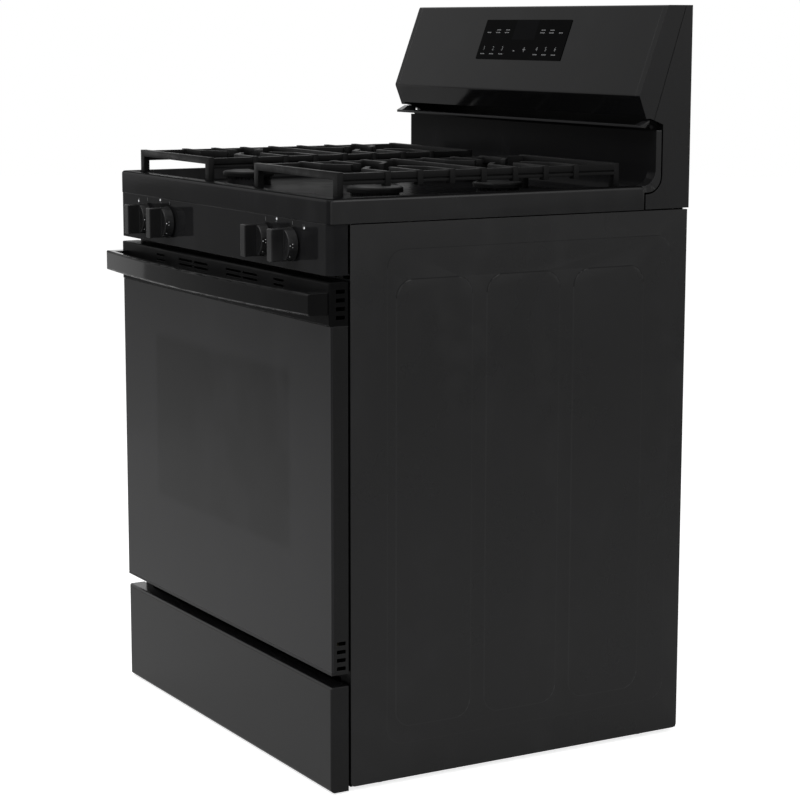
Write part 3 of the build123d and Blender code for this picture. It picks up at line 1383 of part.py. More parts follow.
def control_board():
    """Circuit board on posts behind the touch panel."""
    depth = CONSOLE_SHEET + BOARD_STANDOFF + BOARD_THICK / 2
    face = console_face() * Pos(0, touch_centre(), -depth)
    board = face * Box(BOARD_WIDTH, BOARD_HEIGHT, BOARD_THICK)
    x = BOARD_WIDTH / 2 - BOARD_POST_INSET
    y = BOARD_HEIGHT / 2 - BOARD_POST_INSET
    for side in BOTH:
        for step in BOTH:
            centre = Pos(side * x, step * y, (BOARD_STANDOFF + BOARD_THICK) / 2)
            board += face * centre * Cylinder(BOARD_POST / 2, BOARD_STANDOFF)
    return board


def drawer_bottom():
    """Underside of the drawer box."""
    return TOE_GAP + DRAWER_FLOOR_STEP


def drawer_front():
    """Drawer's face, a shallow pan with ribs behind that meet the box."""
    depth = (DOOR_FACE, DOOR_BACK)
    pan = slab((-FRONT_HALF, FRONT_HALF), depth, (TOE_GAP, DRAWER_TOP))
    pan = fillet(pan.edges().group_by(Axis.Y)[0], DRAWER_FRONT_EDGE)
    inner = FRONT_HALF - DRAWER_FRONT_SHEET
    back = (DOOR_FACE + DRAWER_FRONT_SHEET, DOOR_BACK + CUT)
    hollow = slab((-inner, inner), back, (TOE_GAP + DRAWER_FRONT_SHEET, DRAWER_TOP - DRAWER_FRONT_SHEET))
    pan -= fillet(hollow.edges().group_by(Axis.Y)[0], DRAWER_FRONT_EDGE - DRAWER_FRONT_SHEET)
    for side in BOTH:
        rib_x = DRAWER_HALF - DRAWER_RIB_INSET
        rib = mirrored(rib_x, rib_x + DRAWER_RIB, side)
        run = (DOOR_FACE + DRAWER_FRONT_SHEET, DOOR_BACK)
        pan += slab(rib, run, (TOE_GAP + DRAWER_FRONT_SHEET, DRAWER_TOP - DRAWER_FRONT_SHEET))
    return pan


def drawer_box():
    """Sheet drawer, open at the top."""
    bottom = drawer_bottom()
    top = bottom + DRAWER_SIDE
    run = (DOOR_BACK, DRAWER_BACK)
    box = slab((-DRAWER_HALF, DRAWER_HALF), run, (bottom, top))
    inner = DRAWER_HALF - SHEET
    return box - slab((-inner, inner), (run[0] + SHEET, run[1] - SHEET), (bottom + SHEET, top + CUT))


def runner_height():
    """Bottom and top of the drawer's runners."""
    bottom = drawer_bottom() + RUNNER_BOTTOM_STEP
    return bottom, bottom + RUNNER_HEIGHT


def drawer_runners():
    """Bars on the drawer's sides."""
    run = (DOOR_BACK + RUNNER_FRONT_GAP, DRAWER_BACK - RUNNER_REAR_GAP)
    reach = (DRAWER_HALF, DRAWER_HALF + RUNNER_WIDTH)
    return group(slab(mirrored(*reach, side), run, runner_height()) for side in BOTH)


def drawer_slides():
    """Channels on the base frame that carry the runners."""
    run = (DOOR_BACK + RUNNER_FRONT_GAP, DRAWER_BACK - RUNNER_REAR_GAP)
    low, high = runner_height()
    channels = []
    for side in BOTH:
        reach = mirrored(DRAWER_HALF + RAIL_TO_BOX, BASE_INNER, side)
        height = (low - SEAT_GAP - SLIDE_SHEET, high + SEAT_GAP + SLIDE_SHEET)
        channel = slab(reach, run, height)
        groove = mirrored(DRAWER_HALF, BASE_INNER - SLIDE_SHEET, side)
        channel -= slab(groove, (run[0] - CUT, run[1] + CUT), (low - SEAT_GAP, high + SEAT_GAP))
        channels.append(channel)
    return channels


def door_glass():
    """Outer glass of the door, between the frame's lower lip and the vent trim."""
    height = (DOOR_BOTTOM + GLASS_LIP, TRIM_BOTTOM - SEAT_GAP)
    return slab((-FRONT_HALF, FRONT_HALF), (DOOR_FACE, GLASS_BACK), height)


def side_slots(first):
    """Air slots through both edges of the door, upwards from a first height."""
    middle = (GLASS_BACK + DOOR_BACK) / 2
    along = (middle - SLOT_WIDTH / 2, middle + SLOT_WIDTH / 2)
    slots = []
    for side in BOTH:
        x = mirrored(FRONT_HALF - DOOR_SHEET - TRIM_SHEET, FRONT_HALF + CUT, side)
        for index in range(SLOT_COUNT):
            z = first + index * SLOT_PITCH
            slots.append(slab(x, along, (z - SLOT_HEIGHT / 2, z + SLOT_HEIGHT / 2)))
    return slots


def hinge_slot(side):
    """Way through the door's lower back edge for a hinge arm."""
    reach = HINGE_ARM / 2 + HINGE_SLOT_SIDE
    arm_top = HINGE_Z + HINGE_ARM_HEIGHT / 2 + HINGE_SLOT_SIDE
    x = mirrored(HINGE_X - reach, HINGE_X + reach, side)
    return slab(x, (GLASS_BACK + DOOR_SHEET, DOOR_BACK + CUT), (DOOR_BOTTOM - CUT, arm_top))


def door_frame():
    """Channel frame of the door: two sides, and the bottom with a lip under the glass."""
    depth = (GLASS_BACK, DOOR_BACK)
    frame = slab((-FRONT_HALF, FRONT_HALF), depth, (DOOR_BOTTOM, TRIM_BOTTOM))
    lip = (DOOR_BOTTOM, DOOR_BOTTOM + GLASS_LIP - SEAT_GAP)
    frame += slab((-FRONT_HALF, FRONT_HALF), (DOOR_FACE, GLASS_BACK), lip)
    inner = FRONT_HALF - DOOR_SHEET
    inside = (depth[0] + DOOR_SHEET, depth[1] - DOOR_SHEET)
    frame -= slab((-inner, inner), inside, (DOOR_BOTTOM + DOOR_SHEET, TRIM_BOTTOM + CUT))
    clear = FRONT_HALF - DOOR_STILE
    through = (depth[0] - CUT, depth[1] + CUT)
    frame -= slab((-clear, clear), through, (DOOR_BOTTOM + DOOR_STILE, TRIM_BOTTOM + CUT))
    frame -= side_slots(DOOR_BOTTOM + SLOT_END_LOWER)
    for side in BOTH:
        frame -= hinge_slot(side)
    return frame


def door_trim():
    """Hollow vent trim across the top of the door."""
    height = (TRIM_BOTTOM, DOOR_TOP)
    trim = slab((-FRONT_HALF, FRONT_HALF), (TRIM_FACE, DOOR_BACK), height)
    outer_edges = trim.edges().group_by(Axis.Y)[0]
    trim = fillet(outer_edges, TRIM_EDGE)
    inner = FRONT_HALF - TRIM_SHEET
    inside = (TRIM_FACE + TRIM_SHEET, DOOR_BACK - TRIM_SHEET)
    mouth = FRONT_HALF - DOOR_STILE
    trim -= slab((-inner, inner), inside, (height[0] + TRIM_SHEET, height[1] - TRIM_SHEET))
    under = (GLASS_BACK + DOOR_SHEET, inside[1])
    trim -= slab((-mouth, mouth), under, (height[0] - CUT, height[0] + TRIM_SHEET + CUT))
    trim -= side_slots(DOOR_TOP - SLOT_END - (SLOT_COUNT - 1) * SLOT_PITCH)
    face = (TRIM_FACE - CUT, TRIM_FACE + TRIM_SHEET + CUT)
    vents = []
    for side in BOTH:
        for centre, width in VENT_GROUPS.items():
            x = mirrored(centre - width / 2, centre + width / 2, side)
            for row in range(VENT_ROWS):
                top = DOOR_TOP - VENT_ROW_TOP - row * VENT_ROW_PITCH
                vents.append(slab(x, face, (top - VENT_HEIGHT, top)))
    return trim - vents


def door_liner():
    """Inner door sheet, drawn into a plug that enters the oven mouth, with a window."""
    half = FRONT_HALF - LINER_INSET + SHEET
    height = (DOOR_BOTTOM + LINER_INSET, TRIM_BOTTOM)
    plate = slab((-half, half), (DOOR_BACK, LINER_PLATE_BACK), height)
    plug = slab((-PLUG_HALF, PLUG_HALF), (LINER_PLATE_BACK, PLUG_BACK), (PLUG_BOTTOM, PLUG_TOP))
    plug = fillet(plug.edges().filter_by(Axis.Y), PLUG_CORNER)
    inner = PLUG_HALF - SHEET
    depth = (DOOR_BACK - CUT, PLUG_BACK - SHEET)
    well = slab((-inner, inner), depth, (PLUG_BOTTOM + SHEET, PLUG_TOP - SHEET))
    well = fillet(well.edges().filter_by(Axis.Y), PLUG_CORNER - SHEET)
    return plate + plug - well - window_cut(PLUG_BACK - SHEET - CUT, PLUG_BACK + CUT)


def window_cut(start, end):
    """Window opening between two depths."""
    return slab((-WINDOW_HALF, WINDOW_HALF), (start, end), (WINDOW_BOTTOM, WINDOW_TOP))


def door_inner_glass():
    """Inner pane behind the window opening."""
    half = WINDOW_HALF + INNER_GLASS_LAP
    back = PLUG_BACK - SHEET
    height = (WINDOW_BOTTOM - INNER_GLASS_LAP, WINDOW_TOP + INNER_GLASS_LAP)
    return slab((-half, half), (back - GLASS, back), height)


def door_insulation():
    """Fibre pad inside the door, open at the window."""
    half = FRONT_HALF - DOOR_STILE - PAD_GAP
    low = DOOR_BOTTOM + max(DOOR_STILE, DOOR_SHEET + HINGE_CHEEK_HEIGHT) + PAD_GAP
    depth = (GLASS_BACK + SEAT_GAP, DOOR_BACK - SEAT_GAP)
    pad = slab((-half, half), depth, (low, TRIM_BOTTOM - PAD_GAP))
    return pad - window_cut(GLASS_BACK, DOOR_BACK)


def door_handle():
    """Bowed bar handle with a post at each end."""
    reach = FRONT_HALF - HANDLE_END_INSET
    top = DOOR_TOP - HANDLE_DROP
    front = -RANGE_DEPTH / 2
    ends = front + HANDLE_BOW
    outer = ThreePointArc((-reach, ends), (0, front), (reach, ends))
    inner = ThreePointArc((reach, ends + HANDLE_BAR), (0, front + HANDLE_BAR), (-reach, ends + HANDLE_BAR))
    sides = [Line(outer @ 1, inner @ 0), Line(inner @ 1, outer @ 0)]
    plan = make_face([outer, sides[0], inner, sides[1]])
    for side in BOTH:
        x = mirrored(reach - HANDLE_POST, reach, side)
        depth = TRIM_FACE - ends
        plan += Pos((x[0] + x[1]) / 2, ends + depth / 2) * Rectangle(HANDLE_POST, depth)
    bar_solid = extrude(Pos(0, 0, top - HANDLE_HEIGHT) * plan, HANDLE_HEIGHT)
    rounded = [edge for edge in bar_solid.edges() if edge.center().Y < ends + HANDLE_BAR / 2]
    return fillet(rounded, HANDLE_EDGE)


def hinge_arms():
    """Hinge arms hooked in the front frame, each with its pivot pin."""
    arms = []
    height = (HINGE_Z - HINGE_ARM_HEIGHT / 2, HINGE_Z + HINGE_ARM_HEIGHT / 2)
    for side in BOTH:
        x = mirrored(HINGE_X - HINGE_ARM / 2, HINGE_X + HINGE_ARM / 2, side)
        arm = slab(x, (HINGE_Y, FRAME_BACK + HINGE_ARM_TAIL), height)
        arm += rod_x(HINGE_Y, HINGE_Z, HINGE_ARM_HEIGHT, x)
        hook = (FRAME_BACK, FRAME_BACK + HINGE_ARM_TAIL)
        arm += slab(x, hook, (height[0] - HINGE_HOOK, height[0]))
        reach = HINGE_ARM / 2 + HINGE_CHEEK_GAP + HINGE_CHEEK
        arm += rod_x(HINGE_Y, HINGE_Z, HINGE_PIN, mirrored(HINGE_X - reach, HINGE_X + reach, side))
        arms.append(arm)
    return group(arms)


def hinge_brackets():
    """Cheeks inside the door that turn on the hinge pins."""
    brackets = []
    inside = (GLASS_BACK + DOOR_SHEET, DOOR_BACK - DOOR_SHEET)
    height = (DOOR_BOTTOM + DOOR_SHEET, DOOR_BOTTOM + DOOR_SHEET + HINGE_CHEEK_HEIGHT)
    gap = HINGE_ARM / 2 + HINGE_CHEEK_GAP
    reach = gap + HINGE_CHEEK
    swing = HINGE_ARM_HEIGHT / 2 + HINGE_SLOT_SIDE
    for side in BOTH:
        block = slab(mirrored(HINGE_X - reach, HINGE_X + reach, side), inside, height)
        way = mirrored(HINGE_X - gap, HINGE_X + gap, side)
        block -= slab(way, (HINGE_Y - swing, inside[1] + CUT), (height[0] - CUT, HINGE_Z + swing))
        bore = mirrored(HINGE_X - reach - CUT, HINGE_X + reach + CUT, side)
        block -= rod_x(HINGE_Y, HINGE_Z, HINGE_PIN + 2 * RUN_FIT, bore)
        brackets.append(block)
    return group(brackets)


PARTS = {
    "left_side_panel": side_panel(-1),
    "right_side_panel": side_panel(1),
    "rear_panel": rear_panel(),
    "rear_panel_screws": rear_screws(),
    "cord_bushing": cord_bushing(),
    "base_frame": base_frame(),
    "levelling_feet": levelling_feet(),
    "front_frame": front_frame(),
    "oven_liner": oven_liner(),
    "oven_side_walls": oven_side_walls(),
    "oven_floor": oven_floor(),
    "burner_box": burner_box(),
    "oven_insulation": insulation_wrap(),
    "flue_duct": flue_duct(),
    "bake_burner": bake_burner(),
    "broil_burner": broil_burner(),
    "oven_igniters": oven_igniters(),
    "oven_lamp": oven_lamp(),
    "temperature_probe": temperature_probe(),
    "door_gasket": door_gasket(),
    "cooktop": cooktop(),
    "burner_heads": burner_heads(),
    "burner_caps": burner_caps(),
    "spark_electrodes": spark_electrodes(),
    "left_grate": grate(-1),
    "right_grate": grate(1),
    "control_panel": control_panel(),
    "burner_valves": burner_valves(),
    "gas_pipes": group([manifold_pipe(), supply_pipe()]),
    "pressure_regulator": pressure_regulator(),
    "oven_gas_valve": oven_gas_valve(),
    "gas_tubes": gas_tubes(),
    "spark_module": spark_module(),
    "console_front": console_front(),
    "backguard_rear_cover": backguard_rear_cover(),
    "backguard_end_caps": group(end_cap(side) for side in BOTH),
    "touch_panel": touch_panel(),
    "control_board": control_board(),
    "drawer_front": drawer_front(),
    "drawer_box": drawer_box(),
    "drawer_runners": drawer_runners(),
    "door_glass": door_glass(),
    "door_frame": door_frame(),
    "door_trim": door_trim(),
    "door_liner": door_liner(),
    "door_inner_glass": door_inner_glass(),
    "door_insulation": door_insulation(),
    "door_handle": door_handle(),
    "hinge_arms": hinge_arms(),
    "hinge_brackets": hinge_brackets(),
}
for place, knob_x in knob_places().items():
    PARTS["valve_stem_" + place] = valve_stem(knob_x)
    PARTS["knob_" + place] = knob(knob_x)
PARTS["oven_rack_lower"] = oven_rack(LOWER_RACK_LEDGE_COUNT)
PARTS["oven_rack_upper"] = oven_rack(UPPER_RACK_LEDGE_COUNT)

os.makedirs("parts", exist_ok=True)
for name, shape in PARTS.items():
    export_step(shape, os.path.join("parts", name + ".step"))
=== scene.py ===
import math
from functools import partial

import bmesh
import bpy
from bpy.props import FloatProperty, FloatVectorProperty, IntProperty, PointerProperty
from mathutils import Matrix, Vector


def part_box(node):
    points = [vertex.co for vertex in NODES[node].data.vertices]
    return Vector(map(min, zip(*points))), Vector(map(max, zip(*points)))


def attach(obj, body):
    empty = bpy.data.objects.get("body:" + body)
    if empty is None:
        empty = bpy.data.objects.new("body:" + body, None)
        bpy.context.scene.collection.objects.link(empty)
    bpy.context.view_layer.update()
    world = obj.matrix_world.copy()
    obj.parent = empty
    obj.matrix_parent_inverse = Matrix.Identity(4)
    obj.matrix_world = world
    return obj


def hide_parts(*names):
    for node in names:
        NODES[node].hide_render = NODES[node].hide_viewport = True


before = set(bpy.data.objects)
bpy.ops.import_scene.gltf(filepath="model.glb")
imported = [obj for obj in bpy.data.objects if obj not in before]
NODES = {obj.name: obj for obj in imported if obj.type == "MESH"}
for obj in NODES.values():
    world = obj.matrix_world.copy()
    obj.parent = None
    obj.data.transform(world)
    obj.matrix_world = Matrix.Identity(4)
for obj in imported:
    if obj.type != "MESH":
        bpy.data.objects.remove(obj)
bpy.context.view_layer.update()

bl_info = {
    "name": "Freestanding gas range",
    "version": (1, 0, 0),
    "blender": (4, 5, 0),
    "location": "3D View > Sidebar > Gas range",
    "description": "Finishes, printed marks and studio stage for a black freestanding gas range",
    "category": "Object",
}

KNOBS = ("left_outer", "left_inner", "right_inner", "right_outer")


def colour(name, description, default):
    return FloatVectorProperty(
        name=name, description=description, default=default,
        subtype="COLOR", size=3, min=0.0, max=1.0,
    )


def number(name, description, default, **more):
    return FloatProperty(name=name, description=description, default=default, **more)


def angle(name, description, degrees):
    return number(name, description, math.radians(degrees), subtype="ANGLE")


length = partial(number, unit="LENGTH", min=0.0)
amount = partial(number, min=0.0)
power = partial(number, unit="POWER")


class RangeFinish(bpy.types.PropertyGroup):
    """Colours and edge sizes of the range's finishes."""

    enamel_black: colour("Enamel black", "Black of the enamelled sheets", (0.0040, 0.0040, 0.0042))
    glass_black: colour("Glass black", "Print behind the door glass", (0.0080, 0.0080, 0.0086))
    plastic_black: colour("Plastic black", "Black of the knobs and trims", (0.0030, 0.0030, 0.0031))
    iron_black: colour("Iron black", "Black of the cast grates", (0.0040, 0.0040, 0.0041))
    mark_white: colour("Mark white", "White of the printed marks", (0.80, 0.81, 0.83))
    oven_grey: colour("Oven grey", "Dark grey of the oven enamel", (0.020, 0.022, 0.028))
    speck_pale: colour("Speck", "Pale specks in the oven enamel", (0.22, 0.23, 0.25))
    zinc: colour("Zinc", "Galvanised sheet", (0.46, 0.47, 0.48))
    chrome: colour("Chrome", "Plated rack wire", (0.62, 0.62, 0.63))
    alloy: colour("Burner alloy", "Cast alloy of the regulator", (0.32, 0.32, 0.33))
    brass: colour("Brass", "Valve bodies", (0.60, 0.43, 0.19))
    fibre: colour("Fibre", "Glass fibre blanket", (0.34, 0.30, 0.21))
    ceramic: colour("Ceramic", "Igniters and electrode tubes", (0.50, 0.49, 0.46))
    # The burner heads' near black is painted shade of the gap under the caps.
    head_dark: colour("Burner head", "Burner head alloy darkened as painted shade", (0.020, 0.020, 0.021))
    # The hinge steel's near black is painted shade of the gap beside the door.
    hinge_dark: colour("Hinge steel", "Hinge steel darkened as painted shade", (0.030, 0.030, 0.031))
    board: colour("Board", "Circuit board", (0.010, 0.075, 0.032))
    edge_round: length("Edge round", "Radius that catches light on edges", 0.0008)


class RangeMarks(bpy.types.PropertyGroup):
    """Sizes of the printed marks, small repeated pieces and the borders between finishes."""

    print_thick: length("Print thickness", "Height of the printed marks", 0.00012)
    icon_out: length("Icon outward", "Burner icon, outward from its knob", 0.0352)
    icon_up: length("Icon up", "Burner icon, above its knob", 0.0290)
    icon_pitch: length("Icon pitch", "Spacing of the four icon dots", 0.0042)
    icon_dot: length("Icon dot", "Width of the lit icon dot", 0.0042)
    icon_small: length("Icon small dot", "Width of the other icon dots", 0.0016)
    tick_up: length("Tick up", "Off tick, above its knob", 0.0318)
    tick_width: length("Tick width", "Width of the off tick", 0.0011)
    tick_height: length("Tick height", "Height of the off tick", 0.0060)
    window_half: length("Window half width", "Half width of the door window", 0.245)
    window_low: length("Window bottom", "Lower edge of the door window", 0.355)
    window_high: length("Window top", "Upper edge of the door window", 0.633)
    rim_height: length("Rim height", "Cooktop rim above the floor", 0.902)
    well_depth: length("Well depth", "Cooking floor below the rim", 0.019)
    lip_height: length("Lip height", "Lit edge of the vent lip, below the riser's top", 0.0135)
    riser_start: length("Riser start", "Where the floor sweeps up to the riser", 0.2555)
    port_count: IntProperty(
        name="Flame ports", description="Ports round each burner head", default=36, min=6
    )
    grate_round: length("Grate round", "Rounding of the cast edges", 0.0011)
    rail_drop: length("Rail drop", "Solid rails below the fingers", 0.004)
    rail_crown: length("Rail crown", "Swell of the cast rails above the solid ones", 0.0025)


class RangeStage(bpy.types.PropertyGroup):
    """Camera, floor and light."""

    lens: amount("Lens", "Focal length in millimetres", 103.15)
    camera_place: FloatVectorProperty(
        name="Camera place", description="Where the camera stands", default=(3.304, -1.880, 1.153),
        subtype="TRANSLATION", size=3,
    )
    yaw: angle("Yaw", "Turn round the upright", 59.82)
    pitch: angle("Pitch", "Look down", 9.32)
    roll: angle("Roll", "Lean of the picture", 0.11)
    floor_size: length("Floor size", "Radius of the pale floor", 14.0)
    floor_tone: amount("Floor tone", "Lightness of the floor paint", 0.62)
    floor_seen: amount("Floor seen", "Glow of the floor to the camera", 0.76)
    floor_mirrored: amount("Floor mirrored", "Glow of the floor in gloss and glass", 0.12)
    world_light: amount("Room light", "Light from all round", 0.42)
    key_power: power("Key lamp", "Soft lamp above the front", 95.0)
    fill_power: power("Fill lamp", "Soft lamp at the side", 30.0)
    front_power: power("Front lamp", "Broad lamp beside the camera", 18.0)
    left_power: power("Left lamp", "Low soft lamp on the left", 1.25)


# Shader and node helpers


def toned(base, factor):
    """A colour made lighter or darker."""
    return [part * factor for part in base]


def put(tree, kind, values=None, **settings):
    """A node with its settings, and its inputs set or linked."""
    made = tree.nodes.new(kind)
    for key, value in settings.items():
        setattr(made, key, value)
    for key, value in (values or {}).items():
        if isinstance(value, bpy.types.NodeSocket):
            tree.links.new(value, made.inputs[key])
        else:
            made.inputs[key].default_value = value
    return made


def shader_group(name, inputs, outputs):
    """An empty shader group with float inputs and named outputs."""
    tree = bpy.data.node_groups.new(name, "ShaderNodeTree")
    for label, value in inputs.items():
        socket = tree.interface.new_socket(label, in_out="INPUT", socket_type="NodeSocketFloat")
        socket.default_value = value
    for label, kind in outputs.items():
        tree.interface.new_socket(label, in_out="OUTPUT", socket_type="NodeSocket" + kind)
    return tree, tree.nodes.new("NodeGroupInput").outputs, tree.nodes.new("NodeGroupOutput").inputs


def noise(tree, place, scale, detail, roughness):
    return put(
        tree, "ShaderNodeTexNoise",
        {"Vector": place, "Scale": scale, "Detail": detail, "Roughness": roughness},
    ).outputs[0]


def maths(tree, operation, first, second=0.0):
    return put(tree, "ShaderNodeMath", {0: first, 1: second}, operation=operation).outputs[0]


def times(tree, first, second):
    return maths(tree, "MULTIPLY", first, second)


def ramp(tree, value, low, high, to_low=0.0, to_high=1.0, smooth=False):
    return put(
        tree, "ShaderNodeMapRange",
        {"Value": value, "From Min": low, "From Max": high, "To Min": to_low, "To Max": to_high},
        interpolation_type="SMOOTHSTEP" if smooth else "LINEAR",
    ).outputs[0]


def blend_colour(tree, share, first, second):
    values = {0: share}
    for index, value in ((6, first), (7, second)):
        linked = isinstance(value, bpy.types.NodeSocket)
        values[index] = value if linked else (*value[:3], 1.0)
    return put(tree, "ShaderNodeMix", values, data_type="RGBA").outputs[2]


def object_place(tree):
    return put(tree, "ShaderNodeTexCoord").outputs["Object"]


def build_peel(name):
    """Fine ripple of fired enamel or paint, with a slow change of gloss."""
    tree, given, out = shader_group(name, {"Scale": 420.0}, {"Height": "Float", "Gloss": "Float"})
    place = object_place(tree)
    ripple = noise(tree, place, given["Scale"], 2.0, 0.45)
    broad = noise(tree, place, 5.0, 4.0, 0.55)
    tree.links.new(ripple, out["Height"])
    tree.links.new(ramp(tree, broad, 0.30, 0.70, smooth=True), out["Gloss"])
    return tree


def build_haze(name):
    """Wiping marks: long soft streaks with a few blurred spots."""
    tree, given, out = shader_group(name, {"Scale": 7.0}, {"Haze": "Float"})
    place = object_place(tree)
    drawn = put(
        tree, "ShaderNodeMapping",
        {"Vector": place, "Scale": (1.0, 1.0, 0.28), "Rotation": (0.0, 0.5, 0.0)},
    )
    streak = noise(tree, drawn.outputs[0], given["Scale"], 5.0, 0.62)
    spots = noise(tree, place, times(tree, given["Scale"], 3.1), 2.0, 0.4)
    streaked = ramp(tree, streak, 0.42, 0.72, smooth=True)
    spotted = ramp(tree, spots, 0.35, 0.65, smooth=True)
    tree.links.new(times(tree, streaked, spotted), out["Haze"])
    return tree


def build_edge(name):
    """Rounded edge normal, and a mask of the edges."""
    tree, given, out = shader_group(name, {"Radius": 0.0008}, {"Normal": "Vector", "Edge": "Float"})
    bevel = put(tree, "ShaderNodeBevel", {"Radius": given["Radius"]}, samples=6)
    flat = put(tree, "ShaderNodeNewGeometry").outputs["Normal"]
    facing = put(
        tree, "ShaderNodeVectorMath", {0: bevel.outputs[0], 1: flat}, operation="DOT_PRODUCT"
    )
    tree.links.new(bevel.outputs[0], out["Normal"])
    tree.links.new(ramp(tree, facing.outputs["Value"], 0.985, 0.80), out["Edge"])
    return tree


def build_cast(name):
    """Sand-cast skin: small pits, lumps and a mottled tone."""
    tree, given, out = shader_group(name, {"Scale": 520.0}, {"Height": "Float", "Tone": "Float"})
    place = object_place(tree)
    values = {"Vector": place, "Scale": given["Scale"]}
    pits = put(tree, "ShaderNodeTexVoronoi", values, feature="SMOOTH_F1")
    lumps = noise(tree, place, times(tree, given["Scale"], 0.35), 4.0, 0.6)
    height = maths(tree, "ADD", pits.outputs["Distance"], lumps)
    tree.links.new(height, out["Height"])
    tree.links.new(ramp(tree, noise(tree, place, 38.0, 5.0, 0.65), 0.32, 0.68), out["Tone"])
    return tree


def build_brush(name):
    """Rolling lines along the width of a metal sheet or wire."""
    tree, given, out = shader_group(name, {"Scale": 60.0}, {"Height": "Float", "Streak": "Float"})
    place = object_place(tree)
    drawn = put(tree, "ShaderNodeMapping", {"Vector": place, "Scale": (0.05, 1.0, 1.0)})
    lines = noise(tree, drawn.outputs[0], times(tree, given["Scale"], 12.0), 2.0, 0.5)
    cloud = noise(tree, place, given["Scale"], 5.0, 0.6)
    tree.links.new(lines, out["Height"])
    tree.links.new(ramp(tree, cloud, 0.3, 0.7), out["Streak"])
    return tree


def build_speck(name):
    """Pale specks fired into dark enamel."""
    tree, given, out = shader_group(name, {"Scale": 420.0}, {"Speck": "Float"})
    place = object_place(tree)
    values = {"Vector": place, "Scale": given["Scale"]}
    cells = put(tree, "ShaderNodeTexVoronoi", values, feature="F1")
    chosen = noise(tree, place, times(tree, given["Scale"], 0.5), 1.0, 0.5)
    dots = ramp(tree, cells.outputs["Distance"], 0.30, 0.16)
    tree.links.new(times(tree, dots, ramp(tree, chosen, 0.52, 0.60)), out["Speck"])
    return tree


def use_group(tree, name, build, **values):
    """A shader group in a material, built the first time it is asked for."""
    group = bpy.data.node_groups.get(name) or build(name)
    return put(tree, "ShaderNodeGroup", values, node_tree=group).outputs


def start_material(name, specular=0.5, metallic=0.0):
    material = bpy.data.materials.new(name)
    material.use_nodes = True
    shader = material.node_tree.nodes["Principled BSDF"]
    shader.inputs["Specular IOR Level"].default_value = specular
    shader.inputs["Metallic"].default_value = metallic
    return material, material.node_tree, shader.inputs


def dress(tree, surface, tone, share, gloss):
    """Link the colour, and a roughness that runs between two values."""
    tree.links.new(tone, surface["Base Color"])
    tree.links.new(ramp(tree, share, 0.0, 1.0, *gloss), surface["Roughness"])


def edged(tree, radius=None, share=1.0):
    """Lit edges of the usual radius, or of one that is given."""
    usual = bpy.context.scene.range_finish.edge_round * share
    return use_group(tree, "Edge round", build_edge, Radius=radius or usual)


def bumped(tree, surface, height, strength, distance, normal=None):
    values = {"Height": height, "Strength": strength, "Distance": distance}
    if normal is not None:
        values["Normal"] = normal
    bump = put(tree, "ShaderNodeBump", values)
    tree.links.new(bump.outputs[0], surface["Normal"])


def enamel(name, base, gloss, specular, ripple, bump, radius=None, lift=1.7):
    """Fired enamel, paint or moulded plastic: ripple, wiping haze, and rounded edges that are also
    painted lighter as a highlight.
    """
    material, tree, surface = start_material(name, specular)
    peel = use_group(tree, "Enamel peel", build_peel, Scale=ripple)
    haze = use_group(tree, "Wiping haze", build_haze)["Haze"]
    edge = edged(tree, radius)
    # Colour lighter at wiping smudges, and lighter at edges as a painted highlight.
    smudge_and_edge_highlight = maths(tree, "MAXIMUM", haze, edge["Edge"])
    tint = blend_colour(tree, times(tree, smudge_and_edge_highlight, 0.6), base, toned(base, lift))
    uneven = maths(tree, "ADD", times(tree, peel["Gloss"], 0.4), times(tree, haze, 0.6))
    dress(tree, surface, tint, uneven, gloss)
    bumped(tree, surface, peel["Height"], bump, 0.0003, edge["Normal"])
    return material


def metal(name, base, gloss, scale, bump=0.08, dark=0.55):
    """Bare or plated metal: rolling lines, cloudy gloss and lit edges."""
    material, tree, surface = start_material(name, metallic=1.0)
    brush = use_group(tree, "Rolling lines", build_brush, Scale=scale)
    edge = edged(tree, share=0.6)
    tint = blend_colour(tree, brush["Streak"], toned(base, dark), base)
    dress(tree, surface, tint, brush["Streak"], gloss)
    bumped(tree, surface, brush["Height"], bump, 0.0002, edge["Normal"])
    return material


def cast(name, base, gloss, scale, specular, bump, metallic=0.0):
    """Cast skin with pits, a mottled tone, and rounded edges that are also painted lighter as a
    highlight.
    """
    material, tree, surface = start_material(name, specular, metallic)
    skin = use_group(tree, "Cast skin", build_cast, Scale=scale)
    edge = edged(tree)
    tone = blend_colour(tree, skin["Tone"], toned(base, 0.6), base)
    # Edges painted lighter: a painted highlight.
    lit = blend_colour(tree, times(tree, edge["Edge"], 0.5), tone, toned(base, 2.2))
    dress(tree, surface, lit, skin["Tone"], gloss)
    bumped(tree, surface, skin["Height"], bump, 0.0004, edge["Normal"])
    return material


def speckled(name, base, speck, gloss, specular):
    """Dark oven enamel with pale specks."""
    material, tree, surface = start_material(name, specular)
    dots = use_group(tree, "Pale specks", build_speck)["Speck"]
    peel = use_group(tree, "Enamel peel", build_peel, Scale=260.0)
    dress(tree, surface, blend_colour(tree, dots, base, speck), peel["Gloss"], gloss)
    bumped(tree, surface, peel["Height"], 0.12, 0.0003)
    return material


def fibrous(name, base):
    """Glass fibre felt: tangled strands and soft lumps."""
    material, tree, surface = start_material(name, 0.2)
    skin = use_group(tree, "Cast skin", build_cast, Scale=240.0)
    brush = use_group(tree, "Rolling lines", build_brush, Scale=90.0)
    tone = blend_colour(tree, skin["Tone"], toned(base, 0.6), base)
    tree.links.new(tone, surface["Base Color"])
    surface["Roughness"].default_value = 0.9
    bumped(tree, surface, maths(tree, "ADD", skin["Height"], brush["Height"]), 0.6, 0.0012)
    return material


